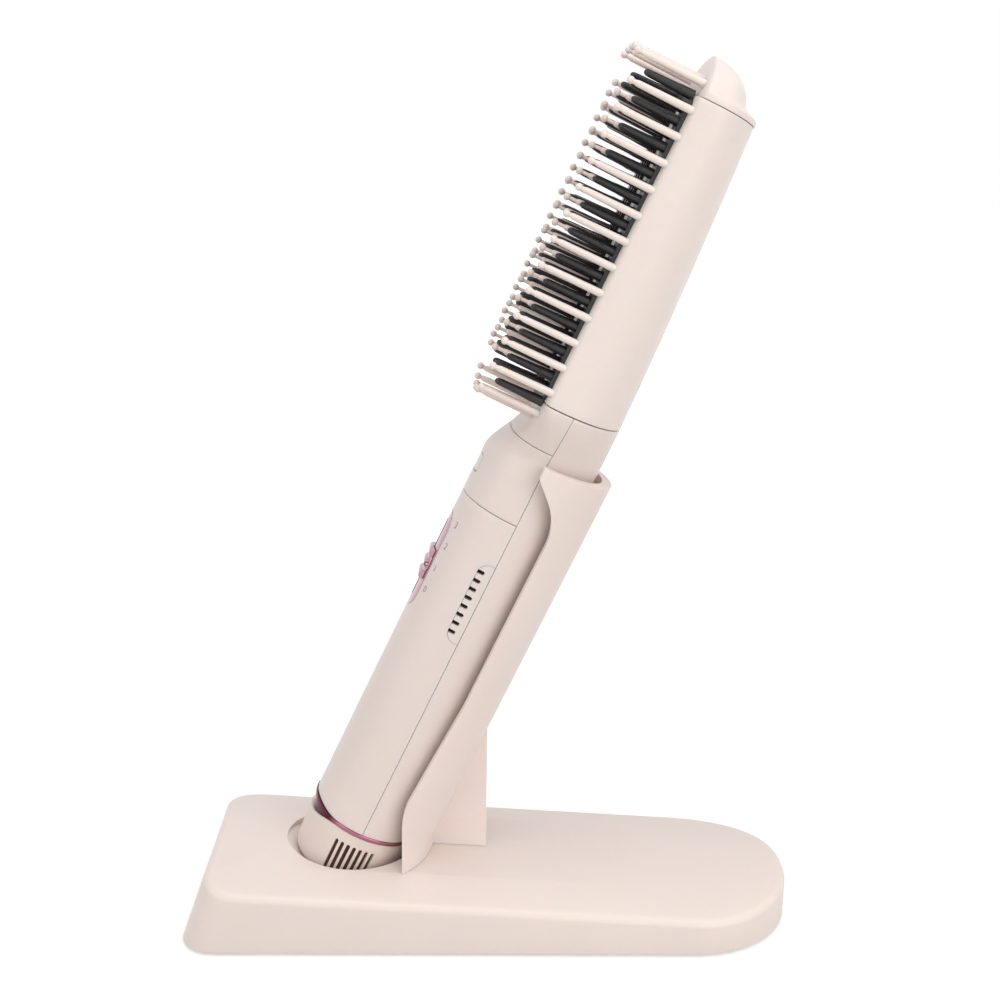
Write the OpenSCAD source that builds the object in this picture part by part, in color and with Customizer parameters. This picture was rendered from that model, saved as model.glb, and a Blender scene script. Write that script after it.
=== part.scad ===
// Cordless hair straightening brush leaning in its charging dock.
// Millimetres, +Z up. The origin is on the table under the middle of the dock.
// The brush's own frame starts at the accent ring: its Z runs up the handle,
// its -X side carries the pins and its +X side is the back.

/* [Dock] */
// Length of the dock along X
dock_l = 220; // [205:1:235]
// Width of the dock along Y
dock_w = 80; // [76:1:92]
// Height of the dock's long edges at its middle
dock_h = 18; // [16.5:0.5:22]
// Fall of the dock's top towards its round end, in degrees
dock_slope = 3.3; // [2:0.1:3.6]
// Rise of the crowned top between the long edges
dock_crown = 5; // [4:0.5:8]
// Lean of the end wall under the brush, measured along X
dock_flare = 9; // [4:1:14]
// Plan radius of the two corners under the brush
dock_corner_r = 12.5; // [10:1:22]
// Plan radius of the round end's corners
dock_round_r = 37.5; // [24:0.5:39.5]
// Radius along the top edge
dock_edge_r = 2.4; // [1:0.2:4]
// Wall of the dock's mouldings
dock_wall = 2.4; // [1.8:0.2:3]
// Height of the rubber feet
foot_h = 1.2; // [0.8:0.1:2]
// Diameter of the rubber feet
foot_d = 11; // [8:1:16]

/* [Brush in the dock] */
// Lean of the brush above the table, in degrees
lean = 65.3; // [63:0.1:68]
// Place along X where the brush's axis meets the dock's top
seat_x = -51; // [-54:0.5:-46]
// Distance along the axis from the dock's top to the accent ring
ring_up = 10.7; // [9.5:0.1:12]
// Gap between the brush's foot and the socket's floor
seat_gap = 0.3; // [0.2:0.05:0.6]

/* [Handle] */
// Radius of the handle
handle_r = 20; // [19:0.5:21]
// Wall of the handle's shells
shell_t = 2.2; // [1.8:0.1:2.6]
// Distance from the ring to the seam under the switch cover
cover_z = 128; // [124:1:132]
// Length of the switch cover along the axis
cover_l = 27.5; // [25:0.5:29]
// Distance from the ring to the seam under the head
head_z = 171; // [169:1:175]
// Visible gap along the seams
seam = 0.3; // [0.1:0.05:0.5]
// Thickness of the accent ring at the back
ring_t = 1.7; // [1.2:0.1:3]
// Extra height of the accent ring at the front
ring_rise = 1.8; // [0.5:0.1:4]
// Extra depth of the accent ring at the front
ring_dip = 3.6; // [0.5:0.1:4]
// Step of the accent ring's upper edge out from the handle
ring_step = 0.3; // [0.2:0.1:1]
// Length of the foot cap below the ring
foot_l = 21; // [18:1:22]
// Radius lost by the foot cap towards its end
foot_taper = 1; // [0.5:0.1:2]
// Number of slots in each side of the foot cap
foot_slots = 7; // [5:1:9]

/* [Controls] */
// Length of the slider track
track_l = 38; // [36:0.5:40]
// Width of the slider track
track_w = 13; // [11:0.2:14]
// Distance from the ring to the middle of the track
track_z = 100.5; // [98:0.5:103]
// Length of the slider
slider_l = 12; // [11:0.5:13]
// Place of the slider below the middle of its track
slider_down = 1.8; // [0:0.1:3]
// Width of the power button
button_w = 11; // [9:0.5:13]
// Height of the power button along the axis
button_l = 6.2; // [5:0.2:7]
// Distance from the cover's lower seam to the middle of the button
button_up = 11.5; // [10:0.5:13]
// Travel of the power button
button_travel = 0.6; // [0.4:0.1:0.7]
// Length of each side vent
vent_l = 31; // [28:1:34]
// Depth of each side vent in front of the parting line
vent_w = 5.3; // [4.6:0.1:6]
// Number of slots in each side vent
vent_slots = 8; // [6:1:9]

/* [Head] */
// Half of the head's width
head_hw = 27; // [26.5:0.5:30]
// Length of the head between its seams
head_l = 108; // [107:1:114]
// Height of the rails above the brush's axis
rail_w = 10.6; // [10:0.2:11.4]
// Rise of the heated field between the rails
field_crown = 1.8; // [1.4:0.2:3]
// Height of the black frame above the rails
frame_up = 1.2; // [0.8:0.1:2]
// Bow of the heated field's ends
end_bow = 3.8; // [2:0.2:6]
// Spacing of the pins along the head
pitch = 9; // [8.6:0.1:9.1]
// Least distance from a rail's last rods to the head's seams
rod_margin = 4; // [3:0.5:5]
// Distance of each row of rods from the middle
rod_y = 24.4; // [24:0.1:24.8]
// Distance of the outer row of heated teeth from the middle
outer_y = 20.2; // [19.6:0.1:20.6]
// Distance of the inner row of heated teeth and ball pins from the middle
inner_y = 14.6; // [13:0.2:15.4]
// Height of the rods above the rails
rod_h = 22; // [18:0.5:25]
// Height of the outer teeth above the rails
outer_h = 17.8; // [14:0.2:20]
// Height of the inner teeth above the rails
inner_h = 19.8; // [16:0.2:21]
// Height of the middle teeth above the rails
middle_h = 21; // [18:0.2:22]
// Height of the inner ball pins above the rails
inner_pin_h = 23.2; // [21:0.2:26]
// Height of the middle ball pins above the rails
middle_pin_h = 24; // [22:0.2:27]
// Length of the domed end cap
cap_l = 15.2; // [12:0.1:17]

/* [Cradle] */
// Radius of the cradle's outside
cradle_r = 26.2; // [25.6:0.1:27]
// Radius of the cradle's bore and of the dock's socket
bore_r = 22.5; // [22.2:0.1:22.8]
// Distance from the ring to the cradle's rim
cradle_z = 151.5; // [147:0.5:153]
// Depth of the wings' edge behind the brush's axis
wing_x = 11.4; // [9:0.2:14]
// Radius of the sweep under the wing tips
wing_sweep_r = 15; // [10:1:18]
// Thickness of the rib behind the cradle
rib_t = 5; // [3:0.5:8]
// Place along X of the rib's upright edge
rib_x = -1.6; // [-6:0.2:4]
// Radius of the upright collar at the cradle's foot
collar_r = 32; // [30:0.5:34]

/* [Hidden] */
$fn = 64;

shell_pink = [0.93, 0.86, 0.83];
shade_pink = [0.90, 0.82, 0.78];
rose_metal = [0.66, 0.42, 0.46];
tooth_black = [0.10, 0.10, 0.11];

// Heights of the crowned top along its edge and along its middle
function edge_z(x) = dock_h - tan(dock_slope)*x;
function mid_z(x) = edge_z(x) + dock_crown;
crown_r = (dock_w*dock_w/4 + dock_crown*dock_crown)/(2*dock_crown);
ring_x = seat_x + ring_up*cos(lean);
ring_z = mid_z(seat_x) + ring_up*sin(lean);
big = 400;

// Places its children in the brush's own frame
module in_brush() translate([ring_x, 0, ring_z]) rotate([0, 90 - lean, 0]) children();

// Stands a pin, drawn along Z, on the brush's front at height w above its axis
module on_front(z, y, w) translate([-w, y, z]) rotate([0, -90, 0]) children();

// Extrudes a side view, drawn as X and Z, across Y
module across(width) rotate([90, 0, 0]) linear_extrude(width, center = true) children();

module tube(r1, r2, z0, z1) {
    translate([0, 0, z0]) difference() {
        cylinder(r = r2, h = z1 - z0);
        translate([0, 0, -1]) cylinder(r = r1, h = z1 - z0 + 2);
    }
}

function arc(cx, cy, r, a0, a1, n) = [for (i = [0:n]) let (a = a0 + (a1 - a0)*i/n) [cx + r*cos(a), cy + r*sin(a)]];

// Plan of the dock: its left edge is drawn in by left, and all of it by inset
function dock_plan(left, inset) =
    let (x0 = -dock_l/2 + left + inset, x1 = dock_l/2 - inset, y1 = dock_w/2 - inset,
         lr = dock_corner_r - inset, rr = min(dock_round_r, dock_w/2 - 0.5) - inset)
    concat(arc(x1 - rr, -y1 + rr, rr, -90, 0, 14), arc(x1 - rr, y1 - rr, rr, 0, 90, 14),
           arc(x0 + lr, y1 - lr, lr, 90, 180, 10), arc(x0 + lr, -y1 + lr, lr, 180, 270, 10));

// All the space under the dock's crowned top, lowered by drop
module under_top(drop) {
    translate([0, 0, dock_h + dock_crown - drop]) rotate([0, dock_slope, 0])
        translate([0, 0, -crown_r]) rotate([0, 90, 0])
            cylinder(r = crown_r, h = 2*dock_l, center = true, $fn = 160);
}

// Height of the crowned top over a point, lowered by drop
function top_at(p, drop) = dock_h + dock_crown - drop - p[0]*tan(dock_slope)
    + (sqrt(crown_r*crown_r - p[1]*p[1]) - crown_r)/cos(dock_slope);

// The dock's outer form, or its hollow when it is drawn in by inset
module dock_form(inset, z0, round) {
    left_h = edge_z(-dock_l/2) - z0;
    turns = round ? [0, 25, 50, 75] : [];
    drops = concat([for (a = turns) dock_edge_r*(1 - sin(a))], [-0.05]);
    ins = concat([for (a = turns) dock_edge_r*(1 - cos(a))], [round ? dock_edge_r : 0]);
    low = [for (p = dock_plan(0, inset)) [p[0], p[1], z0]];
    rings = [for (i = [0:len(ins) - 1]) for (p = dock_plan(dock_flare*(left_h - drops[i])/left_h, inset + ins[i]))
        [p[0], p[1], top_at(p, inset + drops[i])]];
    high = [for (p = dock_plan(dock_flare, inset + ins[len(ins) - 1])) [p[0], p[1], 3*dock_h]];
    n = len(low);
    steps = len(ins) + 1;
    sides = [for (i = [0:steps - 1], j = [0:n - 1]) let (k = (j + 1) % n)
        each [[i*n + j, (i + 1)*n + j, (i + 1)*n + k], [i*n + j, (i + 1)*n + k, i*n + k]]];
    intersection() {
        under_top(inset);
        polyhedron(concat(low, rings, high), concat(sides, [[for (j = [0:n - 1]) j],
            [for (j = [n - 1:-1:0]) steps*n + j]]), convexity = 6);
    }
}

dock_z = foot_h - 0.2;
plate_z = foot_h;
plate_t = 2;
plate_gap = 0.15;
cup_wall = 2;
boss_d = 7;
dock_screw_d = 3;
dock_bosses = [for (s = [-1, 1]) each [[-dock_l/2 + 27, s*(dock_w/2 - 13)], [dock_l/2 - 32, s*(dock_w/2 - 17)]]];
inlet_x = 8;
inlet_w = 9;
inlet_h = 3.2;
inlet_z = plate_z + plate_t + 3.2;
socket_floor = -foot_l - seat_gap;
contact_y = 6;
contact_d = 2.4;

module dock_top_shell() {
    color(shell_pink) difference() {
        union() {
            difference() {
                dock_form(0, dock_z, true);
                dock_form(dock_wall, dock_z - 1, false);
            }
            // Cup round the brush's foot
            intersection() {
                in_brush() translate([0, 0, socket_floor - cup_wall]) cylinder(r = bore_r + cup_wall, h = 60);
                difference() {
                    dock_form(dock_wall/2, dock_z - 1, false);
                    cube([big, big, 2*(plate_z + plate_t + plate_gap)], center = true);
                }
            }
            intersection() {
                for (p = dock_bosses) translate([p[0], p[1], plate_z + plate_t]) cylinder(d = boss_d, h = 3*dock_h);
                dock_form(dock_wall/2, dock_z - 1, false);
            }
        }
        in_brush() translate([0, 0, socket_floor]) cylinder(r = bore_r, h = 80);
        // Holes for the contacts in the socket's floor
        for (s = [-1, 1]) in_brush() translate([0, s*contact_y, socket_floor - 10])
            cylinder(d = contact_d + 0.4, h = 20);
        for (p = dock_bosses) translate([p[0], p[1], 0]) cylinder(d = dock_screw_d - 0.4, h = plate_z + 8);
        translate([inlet_x, dock_w/2, inlet_z + inlet_h/2])
            cube([inlet_w + 0.4, 4*dock_wall, inlet_h + 0.4], center = true);
        for (x = cradle_screw_x) translate([x, 0, 0]) cylinder(d = cradle_screw_d + 0.4, h = 3*dock_h);
    }
}

module dock_base_plate() {
    color(shade_pink) difference() {
        translate([0, 0, plate_z]) linear_extrude(plate_t)
            polygon(dock_plan(dock_flare*(plate_z + plate_t)/edge_z(-dock_l/2), dock_wall + plate_gap));
        for (p = dock_bosses) translate([p[0], p[1], 0]) cylinder(d = dock_screw_d + 0.4, h = 10);
        for (p = dock_bosses) translate([p[0], p[1], plate_z - 1]) cylinder(d = 6.2, h = 2);
    }
}

foot_at = [for (s = [-1, 1]) each [[-dock_l/2 + 17, s*(dock_w/2 - 8.5)], [dock_l/2 - 41, s*(dock_w/2 - 8.5)]]];
module dock_feet() {
    color([0.16, 0.15, 0.15]) for (p = foot_at) translate([p[0], p[1], 0]) cylinder(d = foot_d, h = foot_h);
}

ballast_l = 62;
ballast_x = dock_l/2 - 48;
ballast_w = 2*(dock_w/2 - 17 - boss_d/2 - 0.4);
module dock_ballast() {
    color([0.45, 0.46, 0.48]) translate([ballast_x - ballast_l/2, -ballast_w/2, plate_z + plate_t])
        cube([ballast_l, ballast_w, 5]);
}

module dock_board() {
    color([0.10, 0.33, 0.20]) translate([inlet_x - 15, 10, plate_z + plate_t]) {
        difference() {
            translate([0, 0, 1.6]) cube([30, dock_w/2 - dock_wall - 12.5, 1.6]);
            translate([15, 6, 0]) cylinder(d = 2.6, h = 8);
        }
        // Standoff posts under the board
        for (x = [3, 27]) translate([x, 5, 0]) cylinder(d = 4, h = 1.6);
    }
}

module power_inlet() {
    color([0.62, 0.63, 0.65]) translate([inlet_x, dock_w/2 - dock_wall/2, inlet_z]) difference() {
        translate([-inlet_w/2, -7, 0]) cube([inlet_w, 7, inlet_h]);
        translate([-inlet_w/2 + 0.5, -5.6, 0.5]) cube([inlet_w - 1, 7, inlet_h - 1]);
    }
}

module dock_screws() {
    color([0.55, 0.56, 0.58]) for (p = dock_bosses) translate([p[0], p[1], plate_z]) {
        cylinder(d = 5.6, h = 1);
        cylinder(d = dock_screw_d - 0.4, h = 7.6);
    }
}

// Block under the socket's floor that holds the spring contacts
block_l = 2.6;
module contact_block() {
    color([0.20, 0.20, 0.21]) in_brush() difference() {
        translate([-14, -contact_y - 4, socket_floor - cup_wall - block_l]) cube([17, 2*contact_y + 8, block_l]);
        for (s = [-1, 1]) translate([0, s*contact_y, socket_floor - 20]) cylinder(d = contact_d, h = 20);
    }
}

module dock_contacts() {
    color([0.85, 0.68, 0.32]) in_brush() for (s = [-1, 1])
        translate([0, s*contact_y, socket_floor - cup_wall - block_l])
            cylinder(d = contact_d, h = cup_wall + block_l);
}

// The spine: a cradle on the brush's axis, an upright collar at its foot and a rib behind it
collar_x = seat_x - 2.2;
collar_cut_x = collar_x + 22.2;
cradle_screw_d = 3;
cradle_screw_x = [collar_cut_x + 12.5, rib_x - 5];
wing_tip_x = -1.1;
module wing_cut() {
    x0 = wing_x - wing_sweep_r;
    z0 = cradle_z - 22.8;
    q = wing_sweep_r*sin(45);
    across(4*cradle_r) polygon(concat([[wing_x - 2.6, -60], [wing_x - 2.6, 20], [wing_x, 62]],
        arc(x0, z0, wing_sweep_r, 0, 45, 8), [[wing_tip_x, z0 + q + x0 + q - wing_tip_x],
        [wing_tip_x, cradle_z + 10], [-big, cradle_z + 10], [-big, -60]]));
}

module cradle_spine() {
    rib_top = ring_z + (rib_x - ring_x)*tan(lean);
    color(shell_pink) difference() {
        union() {
            in_brush() translate([0, 0, -60]) cylinder(r = cradle_r, h = cradle_z + 60, $fn = 96);
            translate([collar_x, 0, 0]) cylinder(r = collar_r, h = ring_z + 9, $fn = 96);
            translate([collar_x, -rib_t/2, 0]) cube([rib_x - collar_x, rib_t, ring_z + 34]);
        }
        in_brush() translate([0, 0, -80]) cylinder(r = bore_r, h = big, $fn = 96);
        // Everything in front of the bore is open
        in_brush() wing_cut();
        translate([collar_cut_x - big, -big/2, -1]) cube([big, big, ring_z + 11]);
        // Above the cradle's back the rib and the collar stop
        in_brush() difference() {
            translate([-big/2, -big/2, -60]) cube([big, big, big]);
            translate([0, 0, -61]) cylinder(r = cradle_r, h = big);
            translate([0, -big, -200]) cube([big, 2*big, 400]);
        }
        under_top(0);
        for (x = cradle_screw_x) translate([x, 0, 0]) cylinder(d = cradle_screw_d - 0.4, h = mid_z(x) + 9);
    }
}

module cradle_screws() {
    color([0.55, 0.56, 0.58]) for (x = cradle_screw_x) translate([x, 0, mid_z(x) - dock_wall - 1.6]) {
        cylinder(d = 5.6, h = 1.4);
        cylinder(d = cradle_screw_d - 0.5, h = dock_wall + 9);
    }
}

// Soft liner strips on the back of the bore
module cradle_pads() {
    color([0.82, 0.74, 0.70]) in_brush() for (z = [24, 118]) difference() {
        tube(handle_r + 0.3, bore_r, z, z + 16);
        across(4*cradle_r) polygon([[-big, z - 2], [handle_r*0.82, z - 2], [handle_r*0.82, z + 18], [-big, z + 18]]);
    }
}

// Section of the brush's body at height z: a round handle that grows into a D-shaped head
function smooth(t) = let (u = min(1, max(0, t))) u*u*(3 - 2*u);
function blend_at(z) = smooth((z - cover_z - 20)/(head_z - cover_z - 20));
shoulder_z = cover_z + 17;
neck_z = cover_z + cover_l + 4.5;
cap_z = head_z + head_l;
function body_hw(z) = handle_r + (head_hw - handle_r)*blend_at(z);
function body_front(z) = handle_r - (handle_r - rail_w - 0.6)*smooth((z - shoulder_z)/(neck_z + 4 - shoulder_z));
function body_back(z) = handle_r - 6.5*pow(max(0, z - head_z + 16)/(head_l + 16), 1.5);
body_mid = 3;
function body_pt(z, a, inset) =
    let (b = blend_at(z), hw = body_hw(z) - inset, f = body_front(z) - body_mid*b - inset,
         r = body_back(z) + body_mid*b - inset, q = 1 - 0.64*b, s = sin(a), c = cos(a))
    [(s > 0 ? r*s : -f*pow(abs(s), q)) - body_mid*b,
     s > 0 ? hw*c : hw*sign(c)*pow(abs(c), q)];

// Solid through the sections from z0 to z1
module body_form(z0, z1, inset, steps) {
    n = 56;
    pts = [for (i = [0:steps], j = [0:n - 1]) let (z = z0 + (z1 - z0)*i/steps, p = body_pt(z, 360*(j + 0.5)/n, inset)) [p[0], p[1], z]];
    sides = [for (i = [0:steps - 1], j = [0:n - 1]) let (k = (j + 1) % n)
        each [[i*n + j, (i + 1)*n + k, (i + 1)*n + j], [i*n + j, i*n + k, (i + 1)*n + k]]];
    polyhedron(pts, concat(sides, [[for (j = [n - 1:-1:0]) j], [for (j = [0:n - 1]) steps*n + j]]), convexity = 6);
}

// Half spaces in front of and behind the parting line
module front_side() translate([-big, -big/2, -big/2]) cube([big - seam/2, big, big]);
module back_side() translate([seam/2, -big/2, -big/2]) cube([big, big, big]);

// The space above or below the accent ring, which widens into a lens at the front
ring_lens = [[-24, 1], [-19.6, 0.95], [-18, 0.8], [-16.4, 0.55], [-14.4, 0.25], [-12.4, 0.08], [-10, 0], [24, 0]];
module above_ring(gap) {
    across(3*handle_r) polygon(concat([for (p = ring_lens) [p[0], ring_t/2 + gap + ring_rise*p[1]]], [[24, big], [-24, big]]));
}
module below_ring(gap) {
    across(3*handle_r) polygon(concat([for (p = ring_lens) [p[0], -ring_t/2 - gap - ring_dip*p[1]]], [[24, -big], [-24, -big]]));
}

vent_z = track_z - track_l/2 - 0.7 + vent_l/2;
vent_r = 4;
// Side view of a vent's window, drawn in by inset
module vent_window(inset) {
    translate([0, vent_z]) difference() {
        union() {
            translate([-vent_w + inset, -vent_l/2 + vent_r]) square([vent_w + 1 - inset, vent_l - 2*vent_r]);
            translate([-vent_w + vent_r, -vent_l/2 + inset]) square([vent_w - vent_r + 1, vent_l - 2*inset]);
            for (s = [-1, 1]) translate([-vent_w + vent_r, s*(vent_l/2 - vent_r)]) circle(r = vent_r - inset);
        }
        translate([-inset/2 - seam/2, -big/2]) square([big, big]);
    }
}

// Outline of the slider track, drawn out by grow
module track_plan(length, width, grow) {
    r = width/2 + grow;
    for (s = [-1, 1]) translate([s*(length/2 - width/2), 0]) circle(r = r);
    square([length - width, 2*r], center = true);
}

// Cuts its children's plan, drawn along the handle, through the front wall
module through_front(z) translate([0, 0, z]) rotate([0, -90, 0]) linear_extrude(2*handle_r) children();

slider_z = track_z - slider_down;
slider_room = (track_l - slider_l)/2 - 0.6;
slot_l = 2*slider_room + 6;
slot_w = 2.8;
track_t = 0.9;
inner_r = handle_r - shell_t;

module handle_front_shell() {
    color(shell_pink) in_brush() difference() {
        intersection() {
            union() {
                tube(inner_r, handle_r, 0, cover_z - seam/2);
                // Ribs that carry the board
                for (z = [34, 124]) intersection() {
                    cylinder(r = inner_r + 0.5, h = big);
                    translate([-handle_r, -10, z]) cube([handle_r - board_x - board_t, 20, 2]);
                }
            }
            front_side();
            above_ring(seam/2);
        }
        across(3*handle_r) vent_window(0);
        through_front(track_z) track_plan(slot_l, slot_w, 0.1);
        difference() {
            through_front(track_z) track_plan(track_l, track_w, 0.1);
            cylinder(r = handle_r - track_t - 0.1, h = big);
        }
    }
}

// The back shell ends inside the cradle, under the neck's back half
rear_z = cover_z + 9;
module handle_rear_shell() {
    color(shell_pink) in_brush() intersection() {
        tube(inner_r, handle_r, 0, rear_z);
        back_side();
        above_ring(seam/2);
    }
}

module neck_rear() {
    color(shell_pink) in_brush() difference() {
        intersection() {
            difference() {
                body_form(rear_z + 0.05, head_z - seam, 0, 14);
                body_form(rear_z - 1, head_z + 1, shell_t, 14);
            }
            back_side();
        }
        for (s = [-1, 1]) translate([0, s*screw_y, screw_z]) rotate([0, 90, 0]) cylinder(d = 3, h = 60);
        for (s = [-1, 1]) translate([screw_seat, s*screw_y, screw_z]) rotate([0, 90, 0]) cylinder(d = 5.4, h = 60);
    }
}

button_z = cover_z + button_up;
lens_z = cover_z + 3.4;
lens_d = 1.4;
module button_plan(grow) {
    w = button_w + 2*grow;
    l = button_l + 2*grow;
    r = 1.2 + grow;
    square([l - 2*r, w], center = true);
    square([l, w - 2*r], center = true);
    for (i = [-1, 1], j = [-1, 1]) translate([i*(l/2 - r), j*(w/2 - r)]) circle(r = r);
}

screw_y = 9.5;
screw_z = cover_z + cover_l - 7.5;
screw_seat = 13.5;
boss_x = handle_r - shell_t - 3;
module switch_cover() {
    color(shell_pink) in_brush() {
        difference() {
            intersection() {
                difference() {
                    body_form(cover_z + seam/2, cover_z + cover_l - seam/2, 0, 10);
                    body_form(cover_z - 1, cover_z + cover_l + 1, shell_t, 10);
                }
                front_side();
            }
            through_front(button_z) button_plan(0.25);
            through_front(lens_z) circle(d = lens_d + 0.1);
        }
        // Screw bosses behind the cover's wall
        for (s = [-1, 1]) translate([-boss_x, s*screw_y, screw_z]) rotate([0, 90, 0]) difference() {
            cylinder(d = 5, h = boss_x - seam);
            translate([0, 0, boss_x - 9]) cylinder(d = 2.1, h = 12);
        }
    }
}

// Round-ended rod of the rails, with a slight neck below its bead
module rod(h) {
    rotate_extrude($fn = 20) polygon([[0, 0], [1.35, 0], [1.3, 3], [1.05, h - 3.6], [0.85, h - 2.5],
        [0.95, h - 2.05], [1.18, h - 1.6], [1.25, h - 1.15], [1.1, h - 0.55], [0.65, h - 0.12], [0, h]]);
}

// Ball pin: a tapered shaft, a thin neck and a ball
module ball_pin(h) {
    rotate_extrude($fn = 20) polygon([[0, 0], [1.2, 0], [1.05, h - 7], [0.95, h - 5.2], [0.62, h - 4.4],
        [0.58, h - 2.2], [0.9, h - 1.95], [1.12, h - 1.6], [1.2, h - 1.18], [1.1, h - 0.66], [0.7, h - 0.2], [0, h]]);
}

// Heated tooth with a flared foot and a blunt round end
module tooth(h) {
    rotate_extrude($fn = 20) polygon([[0, 0], [root_r, 0], [root_r - 0.13, 4.6], [1.45, 6.4], [1.2, h - 2], [1.1, h - 1],
        [0.8, h - 0.35], [0.4, h - 0.06], [0, h]]);
}

// As many rods as the rails have room for
rods = floor((head_l - 2*rod_margin)/pitch) + 1;
field_z = head_z + head_l/2 - 0.5;
rod_z0 = field_z - (rods - 1)*pitch/2;
field_hl = (rods - 1)*pitch/2 + 7.2;
field_hw = rod_y - 1.5;
field_r = 4;
bow_r = (field_hw*field_hw + end_bow*end_bow)/(2*end_bow);
// Rods past the rails' ends, as places across and distances from the head's seams
end_rods = [[20.6, 4.6], [12.6, 7], [4.2, 8.2]];
cap_rods = [[20.6, 4.2], [12.6, 5.6], [4.2, 6.4]];
cap_rod_h = rod_h + 1.6;

// Plan of the heated field with bowed ends, as length and width, drawn in by inset
module field_plan(inset) {
    r = max(0.6, field_r - inset);
    big_r = bow_r - inset;
    w = field_hw - inset - r;
    b = asin(w/(big_r - r));
    x0 = field_hl - bow_r;
    x1 = x0 + (big_r - r)*cos(b);
    polygon(concat(arc(x1, -w, r, -90, -b, 4), arc(x0, 0, big_r, -b, b, 12), arc(x1, w, r, b, 90, 4),
        arc(-x1, w, r, 90, 180 - b, 4), arc(-x0, 0, big_r, 180 - b, 180 + b, 12), arc(-x1, -w, r, 180 + b, 270, 4)));
}
module field_cut(inset) translate([0, 0, field_z]) rotate([0, -90, 0]) linear_extrude(2*handle_r) field_plan(inset);

module neck_front() {
    color(shell_pink) in_brush() {
        difference() {
            intersection() {
                difference() {
                    body_form(cover_z + cover_l + seam/2, head_z - seam, 0, 8);
                    body_form(cover_z + cover_l - 1, head_z + 1, shell_t, 8);
                }
                front_side();
            }
            field_cut(-0.15);
        }
        for (p = end_rods, s = [-1, 1]) {
            z = head_z - p[1];
            w = min(body_front(z), -body_pt(z, -acos(min(0.96, p[0]/body_hw(z))), 0)[0]) - 1.6;
            on_front(z, s*p[0], w) rod(rail_w + rod_h - w);
        }
    }
}

module accent_ring() {
    r = handle_r + ring_step;
    color(rose_metal) in_brush() difference() {
        rotate_extrude($fn = 96) polygon([[inner_r - 1.6, -6], [r - 1.3, -6], [r - 1.2, -3.6], [r - 0.8, -1.4],
            [r - 0.2, 0.6], [r, 1.6], [r, 5], [inner_r - 1.6, 5]]);
        above_ring(0);
        below_ring(0);
    }
}

foot_end_r = handle_r - foot_taper;
module foot_cap() {
    color(shade_pink) in_brush() difference() {
        union() {
            intersection() {
                rotate_extrude($fn = 96) polygon(concat([[0, -foot_l], [foot_end_r - 3, -foot_l]],
                    arc(foot_end_r - 3, -foot_l + 3, 3, -75, 0, 6), [[handle_r - 0.2, -4], [handle_r - 0.2, 0], [0, 0]]));
                below_ring(0);
            }
            // Sleeve that joins the ring and both shells
            translate([0, 0, -8]) cylinder(r = inner_r - 1.7, h = 15);
        }
        translate([0, 0, -foot_l + 2]) cylinder(r = foot_end_r - 3.4, h = foot_l + 20);
        for (s = [-1, 1], i = [0:foot_slots - 1]) rotate([0, 0, 90 + s*90]) rotate([0, 0, (i - (foot_slots - 1)/2)*6.9 + s*1])
            translate([0, 0, -foot_l/2 - 2]) foot_slot();
        for (s = [-1, 1]) translate([0, s*contact_y, -foot_l - 1]) cylinder(d = 4.4, h = 1.8);
    }
}

module foot_slot() {
    rotate([90, 0, 0]) linear_extrude(2*handle_r)
        polygon(concat([[-0.67, -5.6], [0.67, -5.6]], arc(0, 7.1, 0.67, 0, 180, 8)));
}

module foot_contacts() {
    color([0.85, 0.68, 0.32]) in_brush() for (s = [-1, 1]) translate([0, s*contact_y, -foot_l])
        cylinder(d = 4.2, h = 0.8);
}

// One side vent: a curved louvre panel let into the front shell
module vent(side) {
    color(shade_pink) in_brush() intersection() {
        difference() {
            tube(handle_r - 1.4, handle_r - 0.08, 0, cover_z);
            across(3*handle_r) vent_slot_plan();
        }
        across(3*handle_r) vent_window(0.12);
        translate([-big/2, side > 0 ? 0 : -big, 0]) cube([big, big, big]);
    }
}
module vent_slot_plan() {
    step = (vent_l - 7.4)/(vent_slots - 1);
    for (i = [0:vent_slots - 1]) translate([0, vent_z + (i - (vent_slots - 1)/2)*step]) {
        translate([-vent_w - 1, -0.75]) square([3, 1.5]);
        translate([-vent_w + 2, 0]) circle(d = 1.5, $fn = 24);
    }
}
module vent_left() vent(1);
module vent_right() vent(-1);

module vent_filters() {
    color([0.13, 0.10, 0.09]) in_brush() intersection() {
        tube(inner_r + 0.1, handle_r - 1.45, 0, cover_z);
        across(3*handle_r) vent_window(0.3);
    }
}

module slider_track() {
    color(rose_metal) in_brush() intersection() {
        tube(handle_r - track_t, handle_r + 0.1, 0, cover_z);
        difference() {
            through_front(track_z) track_plan(track_l, track_w, 0);
            through_front(track_z) track_plan(slot_l, slot_w, 0);
        }
    }
}

board_x = 11;
board_t = 1.6;
control_t = 3.4;
module heat_slider() {
    color(rose_metal) in_brush() translate([0, 0, slider_z]) {
        intersection() {
            tube(handle_r + 0.25, handle_r + 0.75, -slider_l/2, slider_l/2);
            through_front(0) track_plan(slider_l, track_w - 1.6, 0);
        }
        // Finger ridges
        for (z = [-1, 0, 1]) intersection() {
            translate([-handle_r - 0.1, 0, z*slider_l*0.37]) rotate([90, 0, 0])
                cylinder(r = 1.4, h = track_w - 3, center = true);
            tube(handle_r + 0.3, handle_r + 3, -slider_l, slider_l);
        }
        // Stem through the slot, and its tip in the control
        translate([-handle_r - 0.5, -slot_w/2 + 0.3, -2]) cube([handle_r - board_x - board_t - control_t, slot_w - 0.6, 4]);
        translate([-board_x - board_t - control_t - 0.6, -0.6, -1.4]) cube([2, 1.2, 2.8]);
    }
}

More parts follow.
